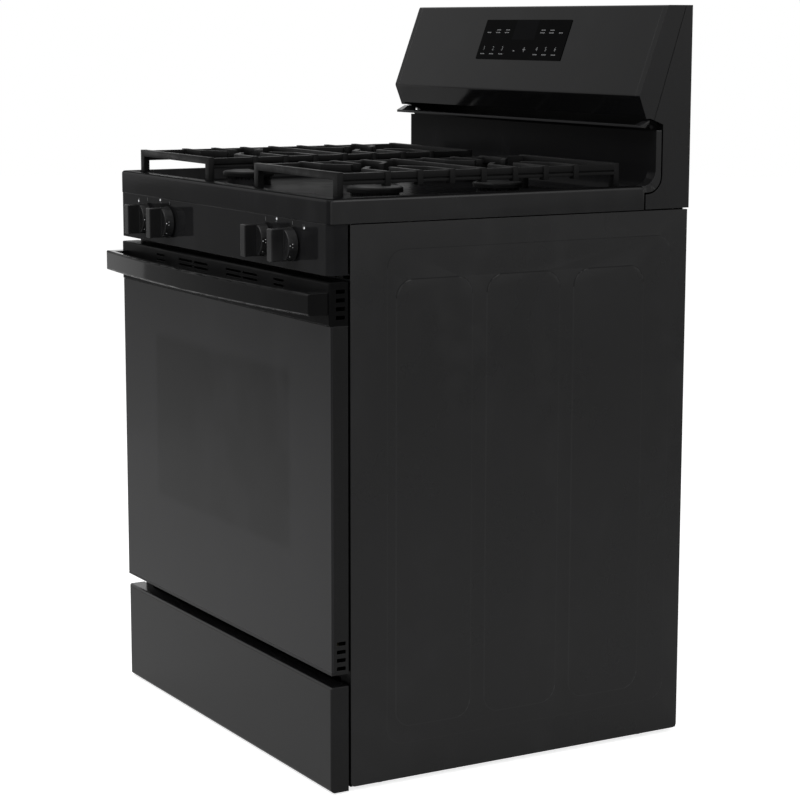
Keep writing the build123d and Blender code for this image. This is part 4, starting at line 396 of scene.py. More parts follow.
def printed(name, base):
    """Printed ink with a slightly uneven body."""
    material, tree, surface = start_material(name, 0.3)
    peel = use_group(tree, "Enamel peel", build_peel, Scale=900.0)
    tone = blend_colour(tree, peel["Height"], toned(base, 0.86), base)
    dress(tree, surface, tone, peel["Gloss"], (0.45, 0.6))
    return material


def paint(material, *names):
    """The finish of whole CAD nodes."""
    for name in names:
        for slot in NODES[name].material_slots:
            slot.material = material


# Mesh helpers


def add_object(name, mesh):
    made = bpy.data.objects.new(name, mesh)
    bpy.context.scene.collection.objects.link(made)
    return made


def plain_copy(made):
    """The evaluated mesh in a fresh object at the origin; the first object goes."""
    bpy.context.view_layer.update()
    ready = made.evaluated_get(bpy.context.evaluated_depsgraph_get())
    mesh = bpy.data.meshes.new_from_object(ready)
    name = made.name
    bpy.data.objects.remove(made)
    mesh.name = name
    return add_object(name, mesh)


def mesh_of(shape, name):
    """The mesh of an edited shape, which is then freed."""
    mesh = bpy.data.meshes.new(name)
    shape.to_mesh(mesh)
    shape.free()
    return mesh


def corners(spots):
    """The lowest and highest corner of some points."""
    return [Vector([end(spot[axis] for spot in spots) for axis in range(3)]) for end in (min, max)]


def merged_mesh(node):
    """A copy of a CAD node's mesh with its triangles joined."""
    shape = bmesh.new()
    shape.from_mesh(NODES[node].data)
    bmesh.ops.remove_doubles(shape, verts=shape.verts, dist=1e-6)
    return shape


def solids_of(node):
    """The lowest and highest corner of each separate solid of a node."""
    shape = merged_mesh(node)
    waiting = set(shape.verts)
    boxes = []
    while waiting:
        front = [waiting.pop()]
        found = list(front)
        while front:
            for edge in front.pop().link_edges:
                for vert in edge.verts:
                    if vert in waiting:
                        waiting.discard(vert)
                        front.append(vert)
                        found.append(vert)
        boxes.append(corners([vert.co for vert in found]))
    shape.free()
    return sorted(boxes, key=lambda box: tuple(box[0]))


def face_frame(node, toward):
    """Centre and turn of the largest flat face that looks one way: X along the width, Z out."""
    toward = Vector(toward).normalized()
    areas = {}
    for polygon in NODES[node].data.polygons:
        if polygon.normal.dot(toward) > 0.9:
            key = tuple(round(part, 2) for part in polygon.normal)
            areas.setdefault(key, []).append(polygon)
    faces = max(areas.values(), key=lambda group: sum(polygon.area for polygon in group))
    spots = [NODES[node].data.vertices[index].co for polygon in faces for index in polygon.vertices]
    low, high = corners(spots)
    out = faces[0].normal.copy()
    across = Vector((1.0, 0.0, 0.0))
    turn = Matrix((across, out.cross(across), out)).transposed()
    return (low + high) / 2, turn


def spread_tree(name, shape):
    """Geometry tree that sets one shape at every point, turned and sized by the points' values."""
    tree = bpy.data.node_groups.new(name, "GeometryNodeTree")
    sockets = {}
    for label, kind in (
        ("Geometry", "Geometry"), ("Sides", "Int"), ("Shape", "Object"), ("Finish", "Material")
    ):
        socket = tree.interface.new_socket(label, in_out="INPUT", socket_type="NodeSocket" + kind)
        sockets[label] = socket.identifier
    tree.interface.new_socket("Geometry", in_out="OUTPUT", socket_type="NodeSocketGeometry")
    given = tree.nodes.new("NodeGroupInput").outputs
    out = tree.nodes.new("NodeGroupOutput").inputs
    if shape == "bar":
        piece = put(tree, "GeometryNodeMeshCube").outputs[0]
    elif shape == "dot":
        values = {"Vertices": given["Sides"], "Radius": 0.5, "Depth": 1.0}
        piece = put(tree, "GeometryNodeMeshCylinder", values).outputs[0]
    else:
        piece = put(tree, "GeometryNodeObjectInfo", {"Object": given["Shape"]}).outputs["Geometry"]
    turn = put(tree, "GeometryNodeInputNamedAttribute", {"Name": "turn"}, data_type="FLOAT_VECTOR")
    size = put(tree, "GeometryNodeInputNamedAttribute", {"Name": "size"}, data_type="FLOAT_VECTOR")
    rotation = put(tree, "FunctionNodeEulerToRotation", {0: turn.outputs[0]})
    values = {"Rotation": rotation.outputs[0], "Scale": size.outputs[0]}
    copies = put(
        tree, "GeometryNodeInstanceOnPoints",
        {"Points": given["Geometry"], "Instance": piece, **values},
    )
    real = put(tree, "GeometryNodeRealizeInstances", {0: copies.outputs[0]})
    done = put(
        tree, "GeometryNodeSetMaterial", {"Geometry": real.outputs[0], "Material": given["Finish"]}
    )
    tree.links.new(done.outputs[0], out["Geometry"])
    return tree, sockets


def spread(name, shape, points, material, sides=20, source=None):
    """One mesh of a shape repeated at points of (place, turn, size)."""
    mesh = bpy.data.meshes.new(name)
    mesh.from_pydata([point[0] for point in points], [], [])
    for label, index in (("turn", 1), ("size", 2)):
        layer = mesh.attributes.new(label, "FLOAT_VECTOR", "POINT")
        layer.data.foreach_set("vector", [part for point in points for part in point[index]])
    made = add_object(name, mesh)
    tree, sockets = spread_tree(name + "_spread", shape)
    modifier = made.modifiers.new("Spread", "NODES")
    modifier.node_group = tree
    modifier[sockets["Sides"]] = sides
    modifier[sockets["Finish"]] = material
    if source is not None:
        modifier[sockets["Shape"]] = source
    return plain_copy(made)


def on_face(centre, turn, across, up, out):
    return centre + turn @ Vector((across, up, out))


def glyphs(name, marks, centre, turn, thick, material):
    """Plain numbers and signs laid on a face as one mesh, from (text, across, up, height)."""
    whole = bmesh.new()
    for text, across, up, height in marks:
        line = bpy.data.curves.new(name, "FONT")
        line.body = text
        line.size = height
        line.align_x = "CENTER"
        line.align_y = "CENTER"
        line.extrude = thick / 2
        line.resolution_u = 4
        sign = plain_copy(add_object(name + "_sign", line))
        place = Matrix.Translation(on_face(centre, turn, across, up, thick / 2)) @ turn.to_4x4()
        sign.data.transform(place)
        whole.from_mesh(sign.data)
        bpy.data.objects.remove(sign)
    mesh = mesh_of(whole, name)
    mesh.materials.append(material)
    return add_object(name, mesh)


def seat(made, body):
    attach(made, body)
    return made


# Operators, one for each group of pieces


class RangeOperator:
    bl_options = {"REGISTER", "UNDO"}


class RANGE_OT_panels(RangeOperator, bpy.types.Operator):
    """Finish the enamelled sheets: sides, control panel, cooktop, backguard"""

    bl_idname = "gas_range.panels"
    bl_label = "Enamelled sheets"

    # Part of a face's normal along the width: more is an end, and between the two a slope
    sideways = 0.8
    slope = (0.02, 0.995)
    border = 0.02
    rim_inset = 0.024
    rim_end = 0.020
    slack = 0.001

    def execute(self, context):
        black = context.scene.range_finish.enamel_black
        sides = (
            enamel("side_enamel", black, (0.26, 0.36), 0.29, 520.0, 0.10),
            enamel("side_arch_enamel", black, (0.34, 0.44), 0.16, 520.0, 0.10),
            enamel("side_slope_enamel", black, (0.26, 0.36), 0.36, 520.0, 0.10),
        )
        for node in ("left_side_panel", "right_side_panel"):
            self.by_face(node, node + "_enamelled", self.pressed(node), sides)
        panel = enamel("panel_enamel", toned(black, 2.1), (0.05, 0.10), 0.045, 300.0, 0.03)
        paint(panel, "control_panel")
        console = enamel("console_enamel", black, (0.07, 0.13), 0.09, 460.0, 0.05)
        paint(console, "console_front")
        caps = merged_mesh("backguard_end_caps")
        for face in caps.faces:
            face.material_index = int(abs(face.normal.x) > self.sideways)
        ends = enamel("cap_end_enamel", black, (0.26, 0.36), 0.22, 520.0, 0.10)
        finishes = (console, ends)
        self.by_face("backguard_end_caps", "end_caps_enamelled", caps, finishes, 5, False)
        self.cooktop(black, context.scene.range_marks)
        return {"FINISHED"}

    def pressed(self, node):
        """Mesh of a side panel: index 1 on slopes of its fields that face up, 2 on the others."""
        shape = merged_mesh(node)
        low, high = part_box(node)
        edge = self.border
        for face in shape.faces:
            centre = face.calc_center_median()
            within = all(low[axis] + edge < centre[axis] < high[axis] - edge for axis in (1, 2))
            if within and self.slope[0] < abs(face.normal.x) < self.slope[1]:
                face.material_index = 1 if face.normal.z > self.slope[0] else 2
        return shape

    def by_face(self, node, name, shape, finishes, sharp=40, even=True):
        """Copy of a sheet with a finish for each face, sharp above an angle in degrees."""
        mesh = mesh_of(shape, name)
        for finish in finishes:
            mesh.materials.append(finish)
        mesh.shade_smooth()
        mesh.set_sharp_from_angle(angle=math.radians(sharp))
        made = add_object(name, mesh)
        if even:
            weighted = made.modifiers.new("Even normals", "WEIGHTED_NORMAL")
            weighted.keep_sharp = True
            made = plain_copy(made)
        seat(made, "chassis")
        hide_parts(node)

    def cooktop(self, black, marks):
        """Copy of the cooktop with a finish each for rim, cooking floor, riser and rim ends; they
        differ in gloss, and their blacks are painted light and shade.
        """
        shape = merged_mesh("cooktop")
        floor = marks.rim_height - marks.well_depth
        rim = marks.rim_height + self.slack
        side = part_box("cooktop")[1].x - self.rim_inset
        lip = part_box("cooktop")[1].z - marks.lip_height
        for face in shape.faces:
            centre = face.calc_center_median()
            aside = abs(centre.x)
            behind = centre.y > marks.riser_start
            upward = face.normal.z > 0.6 and floor - self.slack < centre.z < rim
            if abs(face.normal.x) > self.sideways and aside > side + self.rim_end:
                face.material_index = 3
            elif centre.z > lip:
                face.material_index = 0
            elif upward and centre.y < marks.riser_start:
                face.material_index = 1
            elif centre.z > rim:
                face.material_index = 2
            elif behind and centre.z > floor and aside < side:
                face.material_index = 2
        # Painted light and shade on one enamel: the rim front and lip twice as light, the riser a
        # little lighter, the rim top and cooking floor darker.
        deep = toned(black, 2.0)
        finishes = (
            enamel("cooktop_enamel", deep, (0.06, 0.12), 0.035, 360.0, 0.05, 0.0016),
            enamel("well_enamel", toned(black, 0.7), (0.25, 0.40), 0.002, 360.0, 0.05),
            enamel("riser_enamel", toned(black, 1.3), (0.22, 0.32), 0.012, 360.0, 0.05),
            enamel("rim_end_enamel", black, (0.22, 0.32), 0.26, 360.0, 0.05),
        )
        self.by_face("cooktop", "cooktop_enamelled", shape, finishes)


class RANGE_OT_door(RangeOperator, bpy.types.Operator):
    """Finish the oven door: glass with its window, frame, trim, handle and inner side"""

    bl_idname = "gas_range.door"
    bl_label = "Oven door"

    def execute(self, context):
        finish = context.scene.range_finish
        black = finish.plastic_black
        paint(self.glass(finish, context.scene.range_marks), "door_glass")
        paint(enamel("door_frame_paint", black, (0.22, 0.32), 0.18, 500.0, 0.08), "door_frame")
        paint(enamel("door_trim_paint", black, (0.32, 0.42), 0.02, 480.0, 0.06), "door_trim")
        paint(enamel("handle_paint", black, (0.04, 0.09), 0.08, 420.0, 0.03, 0.0014), "door_handle")
        specks = (finish.oven_grey, finish.speck_pale)
        paint(speckled("door_inner_enamel", *specks, (0.18, 0.30), 0.4), "door_liner")
        smoked = (0.010, 0.011, 0.012)
        paint(enamel("inner_glass", smoked, (0.04, 0.09), 0.45, 200.0, 0.02), "door_inner_glass")
        paint(fibrous("door_fibre", toned(finish.fibre, 0.55)), "door_insulation")
        paint(fibrous("gasket_braid", (0.09, 0.09, 0.085)), "door_gasket")
        # The hinge colour is painted shade of the gap beside the door.
        steel = metal("hinge_steel", finish.hinge_dark, (0.40, 0.55), 70.0)
        paint(steel, "hinge_arms", "hinge_brackets")
        return {"FINISHED"}

    def glass(self, finish, marks):
        """Door glass: black print, and a window painted darker as the shade of the oven behind it,
        which fades at its border.
        """
        material, tree, surface = start_material("door_glass", 0.19)
        place = put(tree, "ShaderNodeSeparateXYZ", {0: object_place(tree)}).outputs
        fade = 0.010
        half, low, high = marks.window_half, marks.window_low, marks.window_high
        aside = maths(tree, "ABSOLUTE", place[0])
        inside = ramp(tree, aside, half + fade, half - fade, smooth=True)
        above = ramp(tree, place[2], low - fade, low + fade, smooth=True)
        below = ramp(tree, place[2], high + fade, high - fade, smooth=True)
        window = times(tree, inside, times(tree, above, below))
        haze = use_group(tree, "Wiping haze", build_haze, Scale=4.0)["Haze"]
        black = finish.glass_black
        # The darker window is painted shade: the dark oven seen through clear glass.
        shade = blend_colour(tree, window, black, toned(black, 0.1))
        hazed = blend_colour(tree, times(tree, haze, 0.5), shade, toned(black, 1.6))
        dress(tree, surface, hazed, haze, (0.035, 0.10))
        tree.links.new(edged(tree)["Normal"], surface["Normal"])
        return material


class RANGE_OT_drawer(RangeOperator, bpy.types.Operator):
    """Finish the storage drawer"""

    bl_idname = "gas_range.drawer"
    bl_label = "Storage drawer"

    def execute(self, context):
        finish = context.scene.range_finish
        black = finish.enamel_black
        front = enamel("drawer_enamel", black, (0.16, 0.26), 0.18, 440.0, 0.07, 0.0016)
        paint(front, "drawer_front")
        grey = (0.030, 0.030, 0.031)
        paint(enamel("drawer_box_paint", grey, (0.35, 0.50), 0.4, 480.0, 0.10), "drawer_box")
        paint(metal("runner_steel", finish.zinc, (0.25, 0.42), 80.0), "drawer_runners")
        return {"FINISHED"}


class RANGE_OT_grates(RangeOperator, bpy.types.Operator):
    """Cast grates with rounded edges and sand-cast skin"""

    bl_idname = "gas_range.grates"
    bl_label = "Grates"
    slack = 0.0002

    def execute(self, context):
        finish = context.scene.range_finish
        marks = context.scene.range_marks
        iron = cast("grate_iron", finish.iron_black, (0.42, 0.60), 620.0, 0.08, 0.22)
        for node in ("left_grate", "right_grate"):
            shape = merged_mesh(node)
            flat = math.radians(0.5)
            bmesh.ops.dissolve_limit(shape, angle_limit=flat, verts=shape.verts, edges=shape.edges)
            rail_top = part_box(node)[1].z - marks.rail_drop
            for vert in shape.verts:
                if abs(vert.co.z - rail_top) < self.slack:
                    vert.co.z += marks.rail_crown
            made = add_object(node + "_casting", mesh_of(shape, node + "_casting"))
            bevel = made.modifiers.new("Rounding", "BEVEL")
            bevel.width = marks.grate_round
            bevel.segments = 2
            bevel.limit_method = "ANGLE"
            bevel.angle_limit = math.radians(35)
            made = plain_copy(made)
            made.data.materials.clear()
            made.data.materials.append(iron)
            made.data.shade_smooth()
            made.data.set_sharp_from_angle(angle=math.radians(38))
            seat(made, node)
            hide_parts(node)
        return {"FINISHED"}


class RANGE_OT_burners(RangeOperator, bpy.types.Operator):
    """Burner heads with flame ports, caps and spark electrodes"""

    bl_idname = "gas_range.burners"
    bl_label = "Burners"
    port_size = (0.0008, 0.0022, 0.0046)
    port_inset = 0.0062
    port_drop = 0.0034

    def execute(self, context):
        finish = context.scene.range_finish
        # The head colour is painted shade of the gap under the caps.
        head = cast("burner_alloy", finish.head_dark, (0.42, 0.58), 700.0, 0.3, 0.12, 1.0)
        paint(head, "burner_heads")
        cap = (0.0042, 0.0042, 0.0043)
        paint(cast("cap_enamel", cap, (0.38, 0.52), 560.0, 0.06, 0.10), "burner_caps")
        fired = enamel("electrode_ceramic", finish.ceramic, (0.25, 0.4), 0.5, 700.0, 0.06)
        paint(fired, "spark_electrodes")
        # Flame ports drawn as near-black bars on the heads: painted shade of the port holes.
        port_shade = cast("port_soot", (0.004, 0.004, 0.004), (0.7, 0.9), 900.0, 0.1, 0.1)
        points = []
        count = context.scene.range_marks.port_count
        for low, high in solids_of("burner_caps"):
            middle = (low + high) / 2
            radius = (high.x - low.x) / 2 - self.port_inset
            for index in range(count):
                turn = 2 * math.pi * (index + 0.5) / count
                x = middle.x + radius * math.cos(turn)
                y = middle.y + radius * math.sin(turn)
                points.append(((x, y, low.z - self.port_drop), (0.0, 0.0, turn), self.port_size))
        ports = spread("flame_ports", "bar", points, port_shade)
        seat(ports, "chassis")
        return {"FINISHED"}


class RANGE_OT_knobs(RangeOperator, bpy.types.Operator):
    """Knobs with the small marks on their skirts"""

    bl_idname = "gas_range.knobs"
    bl_label = "Knobs"

    # Marks on the skirt: degrees round the axis, distance in front of the panel, width
    skirt_marks = (
        (0, 0.0128, 0.0016), (5, 0.0088, 0.0012), (-6, 0.0088, 0.0012), (-43, 0.0105, 0.0013),
        (-75, 0.0105, 0.0010), (-105, 0.0105, 0.0009), (90, 0.0105, 0.0014), (180, 0.0105, 0.0012),
    )
    skirt_taper = 0.002 / 0.015

    def execute(self, context):
        finish = context.scene.range_finish
        marks = context.scene.range_marks
        base = toned(finish.plastic_black, 2.8)
        # The last value paints the knob edges three times lighter: a painted highlight.
        black = enamel("knob_plastic", base, (0.22, 0.32), 0.14, 800.0, 0.05, 0.0011, 3.0)
        ink = printed("knob_ink", finish.mark_white)
        for name in KNOBS:
            node = "knob_" + name
            paint(black, node)
            low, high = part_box(node)
            axis = Vector(((low.x + high.x) / 2, high.y, (low.z + high.z) / 2))
            radius = (high.x - low.x) / 2
            points = []
            for degrees, forward, size in self.skirt_marks:
                around = math.radians(degrees)
                reach = radius - self.skirt_taper * forward + marks.print_thick * 0.4
                out = Vector((math.cos(around), 0.0, math.sin(around)))
                place = axis + out * reach + Vector((0.0, -forward, 0.0))
                turn = out.to_track_quat("Z", "Y").to_euler()
                points.append((place, turn, (size, size, marks.print_thick)))
            seat(spread(node + "_marks", "dot", points, ink, 16), node)
        return {"FINISHED"}


class RANGE_OT_panel_marks(RangeOperator, bpy.types.Operator):
    """Burner icons and off ticks printed on the control panel"""

    bl_idname = "gas_range.panel_marks"
    bl_label = "Control panel marks"
    rear_lift = 0.003

    def execute(self, context):
        finish = context.scene.range_finish
        marks = context.scene.range_marks
        bright = printed("panel_ink", finish.mark_white)
        faint = printed("panel_ink_faint", toned(finish.mark_white, 0.10))
        centre, turn = face_frame("control_panel", (0, -1, 0))
        lean = turn.to_euler()
        thick = marks.print_thick
        lit, small, ticks = [], [], []
        for name in KNOBS:
            low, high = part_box("knob_" + name)
            x = (low.x + high.x) / 2
            z = (low.z + high.z) / 2
            side = math.copysign(1.0, x)
            rear = name.endswith("inner")
            icon_x = x + side * marks.icon_out
            icon_z = z + marks.icon_up + (self.rear_lift if rear else 0.0)
            half = marks.icon_pitch / 2
            for step_x in (-1, 1):
                for step_z in (-1, 1):
                    chosen = step_x == side and (step_z == 1) == rear
                    size = marks.icon_dot if chosen else marks.icon_small
                    place = (icon_x + step_x * half, centre.y - thick / 2, icon_z + step_z * half)
                    (lit if chosen else small).append((place, lean, (size, size, thick)))
            place = (x, centre.y - thick / 2, z + marks.tick_up)
            ticks.append((place, lean, (marks.tick_width, marks.tick_height, thick)))
        seat(spread("panel_icon_lit", "dot", lit, bright, 28), "chassis")
        seat(spread("panel_icon_small", "dot", small, faint, 16), "chassis")
        seat(spread("panel_ticks", "bar", ticks, faint), "chassis")
        return {"FINISHED"}


class RANGE_OT_touch(RangeOperator, bpy.types.Operator):
    """Touch panel glass with its display and key marks"""

    bl_idname = "gas_range.touch"
    bl_label = "Touch panel"

    # Distances from the panel's middle, across and up, then sizes of the printed marks
    label_across = (-0.112, -0.084, -0.056, 0.054, 0.081, 0.109)
    label_up = 0.0125
    second_up = 0.0172
    key_across = (-0.113, -0.084, -0.055, 0.052, 0.079, 0.107)
    key_up = -0.0165
    key_height = 0.0105
    key_label_up = -0.0262
    signs = (("-", -0.0175, -0.0185, 0.0200), ("+", 0.0135, -0.0185, 0.0180))
    dashes = ((0.0, 0.30), (0.36, 0.22), (0.64, 0.36))
    dash_height = 0.0016

    def execute(self, context):
        finish = context.scene.range_finish
        thick = context.scene.range_marks.print_thick
        paint(self.glass(), "touch_panel")
        ink = printed("touch_ink", toned(finish.mark_white, 0.15))
        centre, turn = face_frame("touch_panel", (0, -0.94, 0.35))
        lean = turn.to_euler()
        bars = []

        def label(across, up, width):
            left = across - width / 2
            for start, share in self.dashes:
                place = on_face(centre, turn, left + width * (start + share / 2), up, thick / 2)
                bars.append((place, lean, (width * share, self.dash_height, thick)))

        for across in self.label_across:
            end = abs(across) > 0.1
            label(across, self.label_up, 0.0115 if end else 0.0130)
            if not end:
                label(across + 0.001, self.second_up, 0.0120)
        keys = []
        for text, across in zip("123456", self.key_across):
            keys.append((text, across, self.key_up, self.key_height))
            label(across - 0.001, self.key_label_up, 0.0125)
        keys += self.signs
        seat(spread("touch_labels", "bar", bars, ink), "chassis")
        seat(glyphs("touch_keys", keys, centre, turn, thick, ink), "chassis")
        return {"FINISHED"}

    def glass(self):
        """Black glass with a faintly lighter display in its upper middle."""
        material, tree, surface = start_material("touch_glass", 0.008)
        place = put(tree, "ShaderNodeSeparateXYZ", {0: object_place(tree)}).outputs
        display = ramp(tree, maths(tree, "ABSOLUTE", place[0]), 0.036, 0.032, smooth=True)
        high = ramp(tree, place[2], 1.125, 1.129, smooth=True)
        haze = use_group(tree, "Wiping haze", build_haze, Scale=18.0)["Haze"]
        lit = times(tree, display, high)
        black, pale = (0.0006, 0.0006, 0.0007), (0.0035, 0.0035, 0.0040)
        tone = blend_colour(tree, times(tree, lit, 0.5), black, pale)
        smear = (0.0020, 0.0020, 0.0022)
        hazed = blend_colour(tree, times(tree, haze, 0.4), tone, smear)
        dress(tree, surface, hazed, haze, (0.12, 0.22))
        return material


class RANGE_OT_oven(RangeOperator, bpy.types.Operator):
    """Finish the inside of the oven: liner, floor, burners, racks and fittings"""

    bl_idname = "gas_range.oven"
    bl_label = "Oven inside"

    def execute(self, context):
        finish = context.scene.range_finish
        lining = speckled("oven_enamel", finish.oven_grey, finish.speck_pale, (0.20, 0.32), 0.45)
        paint(lining, "oven_liner", "oven_side_walls", "oven_floor")
        black = (0.0020, 0.0020, 0.0021)
        paint(enamel("front_frame_enamel", black, (0.24, 0.34), 0.05, 460.0, 0.08), "front_frame")
        plated = metal("rack_chrome", finish.chrome, (0.12, 0.22), 90.0, bump=0.03, dark=0.8)
        paint(plated, "oven_rack_lower", "oven_rack_upper")
        steel = metal("burner_steel", (0.42, 0.41, 0.40), (0.30, 0.48), 60.0)
        paint(steel, "bake_burner", "broil_burner", "temperature_probe")
        paint(metal("box_zinc", finish.zinc, (0.32, 0.50), 26.0), "burner_box")
        fired = enamel("igniter_ceramic", finish.ceramic, (0.4, 0.6), 0.4, 700.0, 0.10)
        paint(fired, "oven_igniters")
        paint(enamel("lamp_glass", (0.55, 0.56, 0.54), (0.06, 0.14), 0.5, 240.0, 0.04), "oven_lamp")
        paint(fibrous("oven_fibre", finish.fibre), "oven_insulation")
        return {"FINISHED"}


class RANGE_OT_gas(RangeOperator, bpy.types.Operator):
    """Finish the gas train: valves, stems, pipes, tubes, regulator and spark module"""

    bl_idname = "gas_range.gas"
    bl_label = "Gas train"

    def execute(self, context):
        finish = context.scene.range_finish
        brass = metal("valve_brass", finish.brass, (0.24, 0.40), 80.0, dark=0.7)
        paint(brass, "burner_valves", "oven_gas_valve")
        steel = metal("stem_steel", finish.chrome, (0.18, 0.30), 90.0)
        paint(steel, *["valve_stem_" + name for name in KNOBS])
        black = (0.012, 0.012, 0.012)
        paint(enamel("pipe_black", black, (0.40, 0.55), 0.4, 420.0, 0.12), "gas_pipes")
        paint(metal("tube_alloy", (0.56, 0.57, 0.58), (0.22, 0.36), 70.0), "gas_tubes")
        alloy = cast("regulator_alloy", finish.alloy, (0.35, 0.5), 640.0, 0.5, 0.12, 1.0)
        paint(alloy, "pressure_regulator")
        grey = (0.35, 0.35, 0.33)
        paint(enamel("module_plastic", grey, (0.35, 0.5), 0.4, 620.0, 0.08), "spark_module")
        return {"FINISHED"}


class RANGE_OT_back(RangeOperator, bpy.types.Operator):
    """Finish the back and base, with cross-slotted screws"""

    bl_idname = "gas_range.back"
    bl_label = "Back and base"

    # Screw heads: height in metres, the rest in shares of the radius and the height
    head_height = 0.0015
    head_sides = 32
    head_rings = ((1.0, -1.0), (1.0, -0.45), (0.9, -0.14), (0.70, -0.02), (0.62, 0.0))
    recess_reach = 0.56
    recess_half = 0.16

    def execute(self, context):
        finish = context.scene.range_finish
        zinc = metal("rear_zinc", finish.zinc, (0.32, 0.52), 22.0, dark=0.7)
        paint(zinc, "rear_panel", "base_frame")
        # Rear cover and flue duct in near-black paint with little gloss: black paint, and painted
        # shade for the vent gap behind the console.
        cover = enamel("cover_black", (0.006, 0.006, 0.006), (0.45, 0.60), 0.05, 480.0, 0.10)
        paint(cover, "backguard_rear_cover", "flue_duct")
        black = enamel("foot_plastic", (0.010, 0.010, 0.010), (0.40, 0.55), 0.35, 600.0, 0.10)
        paint(black, "levelling_feet", "cord_bushing")
        self.board(finish)
        steel = metal("screw_steel", finish.chrome, (0.22, 0.36), 120.0)
        head = self.screw_head()
        points = []
        for low, high in solids_of("rear_panel_screws"):
            place = Vector(((low.x + high.x) / 2, high.y, (low.z + high.z) / 2))
            radius = (high.x - low.x) / 2
            size = (radius, radius, self.head_height)
            points.append((place, (math.radians(-90), 0.0, 0.0), size))
        made = spread("rear_screw_heads", "object", points, steel, source=head)
        bpy.data.objects.remove(head)
        seat(made, "chassis")
        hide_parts("rear_panel_screws")
        return {"FINISHED"}

    def screw_head(self):
        """Domed head of unit radius with a cross recess, its top at zero."""
        shape = bmesh.new()
        sides = self.head_sides
        turns = [2 * math.pi * i / sides for i in range(sides)]
        ways = [(math.cos(turn), math.sin(turn)) for turn in turns]
        loops = []
        for radius, height in self.head_rings:
            loops.append([shape.verts.new((radius * x, radius * y, height)) for x, y in ways])
        for lower, upper in zip(loops, loops[1:]):
            for i in range(sides):
                n = (i + 1) % sides
                shape.faces.new((lower[i], lower[n], upper[n], upper[i]))
        cross = []
        for x, y in ways:
            lobe = max(abs(x), abs(y))
            reach = self.recess_reach
            if lobe <= 0.97:
                reach = min(self.recess_half / math.sqrt(max(1 - lobe * lobe, 0.02)), reach)
            cross.append((reach * x, reach * y))
        rim = [shape.verts.new((x, y, 0.0)) for x, y in cross]
        deep = [shape.verts.new((x * 0.8, y * 0.8, -0.7)) for x, y in cross]
        for i in range(sides):
            n = (i + 1) % sides
            shape.faces.new((loops[-1][i], loops[-1][n], rim[n], rim[i]))
            shape.faces.new((rim[i], rim[n], deep[n], deep[i]))
        middle = shape.verts.new((0.0, 0.0, -0.75))
        for i in range(sides):
            shape.faces.new((deep[i], deep[(i + 1) % sides], middle))
        shape.faces.new(list(reversed(loops[0])))
        return add_object("screw_head", mesh_of(shape, "screw_head"))

    def board(self, finish):
        """Green board with paler tracks."""
        material, tree, surface = start_material("circuit_board")
        cells = put(
            tree, "ShaderNodeTexVoronoi", {"Vector": object_place(tree), "Scale": 160.0},
            feature="F1", distance="MANHATTAN",
        )
        tracks = ramp(tree, cells.outputs["Distance"], 0.42, 0.46)
        tone = blend_colour(tree, tracks, finish.board, toned(finish.board, 1.9))
        tree.links.new(tone, surface["Base Color"])
        surface["Roughness"].default_value = 0.4
        paint(material, "control_board")


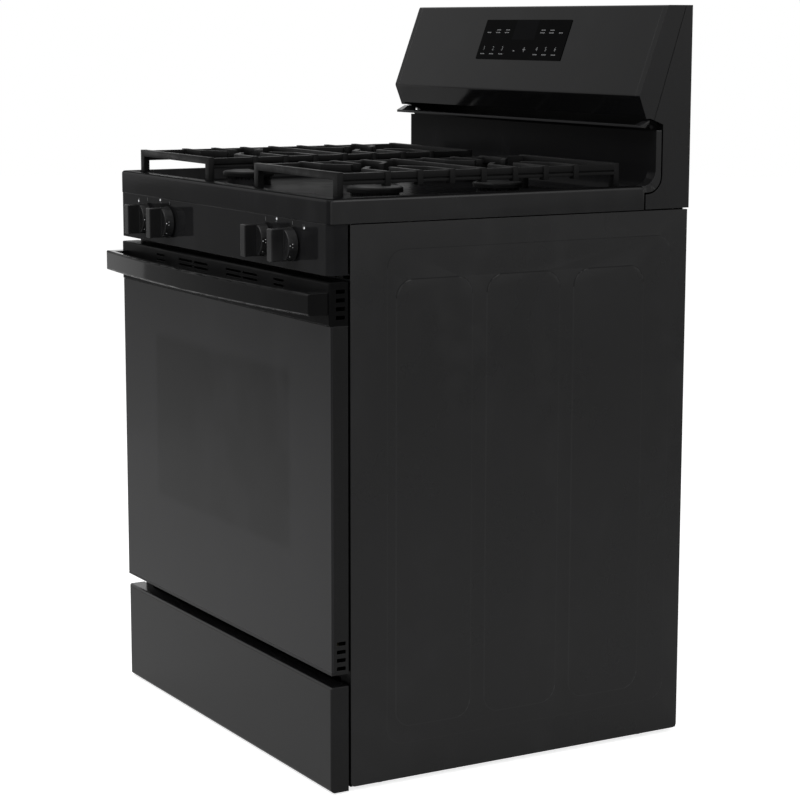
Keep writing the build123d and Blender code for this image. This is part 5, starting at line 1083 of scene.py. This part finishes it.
class RANGE_OT_stage(RangeOperator, bpy.types.Operator):
    """Camera, pale floor and soft light"""

    bl_idname = "gas_range.stage"
    bl_label = "Studio stage"

    def execute(self, context):
        stage = context.scene.range_stage
        context.scene.view_settings.view_transform = "Standard"
        self.camera(context.scene, stage)
        self.floor(stage)
        self.world(context.scene, stage)
        self.lamp("key_lamp", (0.6, -1.6, 3.4), (0.0, -0.2, 0.5), 3.0, stage.key_power)
        self.lamp("fill_lamp", (3.2, 0.9, 2.6), (0.2, 0.0, 0.6), 2.4, stage.fill_power)
        self.lamp("front_lamp", (3.0, -2.6, 1.8), (0.0, 0.0, 0.6), 1.8, stage.front_power)
        self.lamp("left_lamp", (-2.8, -0.67, 0.55), (0.0, -0.67, 0.55), 1.04, stage.left_power)
        return {"FINISHED"}

    def camera(self, scene, stage):
        data = bpy.data.cameras.new("Camera")
        data.lens = stage.lens
        data.sensor_width = 36.0
        made = add_object("Camera", data)
        flat = math.cos(stage.pitch)
        right = Vector((math.cos(stage.yaw), math.sin(stage.yaw), 0.0))
        back = Vector((right.y * flat, -right.x * flat, math.sin(stage.pitch)))
        up = back.cross(right)
        c, s = math.cos(stage.roll), math.sin(stage.roll)
        axes = Matrix((c * right + s * up, c * up - s * right, back)).transposed()
        made.matrix_world = Matrix.Translation(stage.camera_place) @ axes.to_4x4()
        scene.camera = made

    def rays(self, tree):
        """Marks of the camera's rays, and of those seen in gloss or through glass."""
        path = put(tree, "ShaderNodeLightPath").outputs
        mirrored = maths(tree, "MAXIMUM", path["Is Glossy Ray"], path["Is Transmission Ray"])
        return path["Is Camera Ray"], mirrored

    def floor(self, stage):
        shape = bmesh.new()
        bmesh.ops.create_circle(shape, cap_ends=True, radius=stage.floor_size, segments=96)
        mesh = mesh_of(shape, "studio_floor")
        made = add_object("studio_floor", mesh)
        material = bpy.data.materials.new("studio_floor")
        material.use_nodes = True
        tree = material.node_tree
        tree.nodes.clear()
        seen, mirrored = self.rays(tree)
        glow = maths(
            tree, "ADD",
            times(tree, seen, stage.floor_seen), times(tree, mirrored, stage.floor_mirrored),
        )
        tone = stage.floor_tone
        paper = put(tree, "ShaderNodeBsdfDiffuse", {"Color": (tone, tone, tone, 1.0)})
        light = put(tree, "ShaderNodeEmission", {"Strength": glow})
        both = put(tree, "ShaderNodeAddShader", {0: paper.outputs[0], 1: light.outputs[0]})
        put(tree, "ShaderNodeOutputMaterial", {"Surface": both.outputs[0]})
        mesh.materials.append(material)

    def world(self, scene, stage):
        world = bpy.data.worlds.new("studio_room")
        scene.world = world
        world.use_nodes = True
        tree = world.node_tree
        tree.nodes.clear()
        shown = maths(tree, "MAXIMUM", *self.rays(tree))
        level = ramp(tree, shown, 0.0, 1.0, stage.world_light, 1.0)
        room = put(tree, "ShaderNodeBackground", {"Color": (1.0, 1.0, 1.0, 1.0), "Strength": level})
        put(tree, "ShaderNodeOutputWorld", {"Surface": room.outputs[0]})

    def lamp(self, name, place, target, size, power):
        data = bpy.data.lights.new(name, "AREA")
        data.shape = "DISK"
        data.size = size
        data.energy = power
        made = add_object(name, data)
        made.location = place
        made.rotation_euler = (Vector(target) - Vector(place)).to_track_quat("-Z", "Y").to_euler()


OPERATORS = (
    RANGE_OT_panels, RANGE_OT_door, RANGE_OT_drawer, RANGE_OT_grates, RANGE_OT_burners,
    RANGE_OT_knobs, RANGE_OT_panel_marks, RANGE_OT_touch, RANGE_OT_oven, RANGE_OT_gas,
    RANGE_OT_back, RANGE_OT_stage,
)


class RANGE_PT_sidebar(bpy.types.Panel):
    """List of the range's pieces in the sidebar"""

    bl_idname = "RANGE_PT_sidebar"
    bl_label = "Gas range"
    bl_space_type = "VIEW_3D"
    bl_region_type = "UI"
    bl_category = "Gas range"

    def draw(self, context):
        for kind in OPERATORS:
            self.layout.operator(kind.bl_idname)


SETTINGS = (RangeFinish, RangeMarks, RangeStage)


def register():
    for kind in SETTINGS + OPERATORS + (RANGE_PT_sidebar,):
        bpy.utils.register_class(kind)
    bpy.types.Scene.range_finish = PointerProperty(type=RangeFinish)
    bpy.types.Scene.range_marks = PointerProperty(type=RangeMarks)
    bpy.types.Scene.range_stage = PointerProperty(type=RangeStage)


def unregister():
    for name in ("range_finish", "range_marks", "range_stage"):
        delattr(bpy.types.Scene, name)
    for kind in reversed(SETTINGS + OPERATORS + (RANGE_PT_sidebar,)):
        bpy.utils.unregister_class(kind)


def main():
    register()
    for kind in OPERATORS:
        group, name = kind.bl_idname.split(".")
        getattr(getattr(bpy.ops, group), name)()


if __name__ == "__main__":
    main()
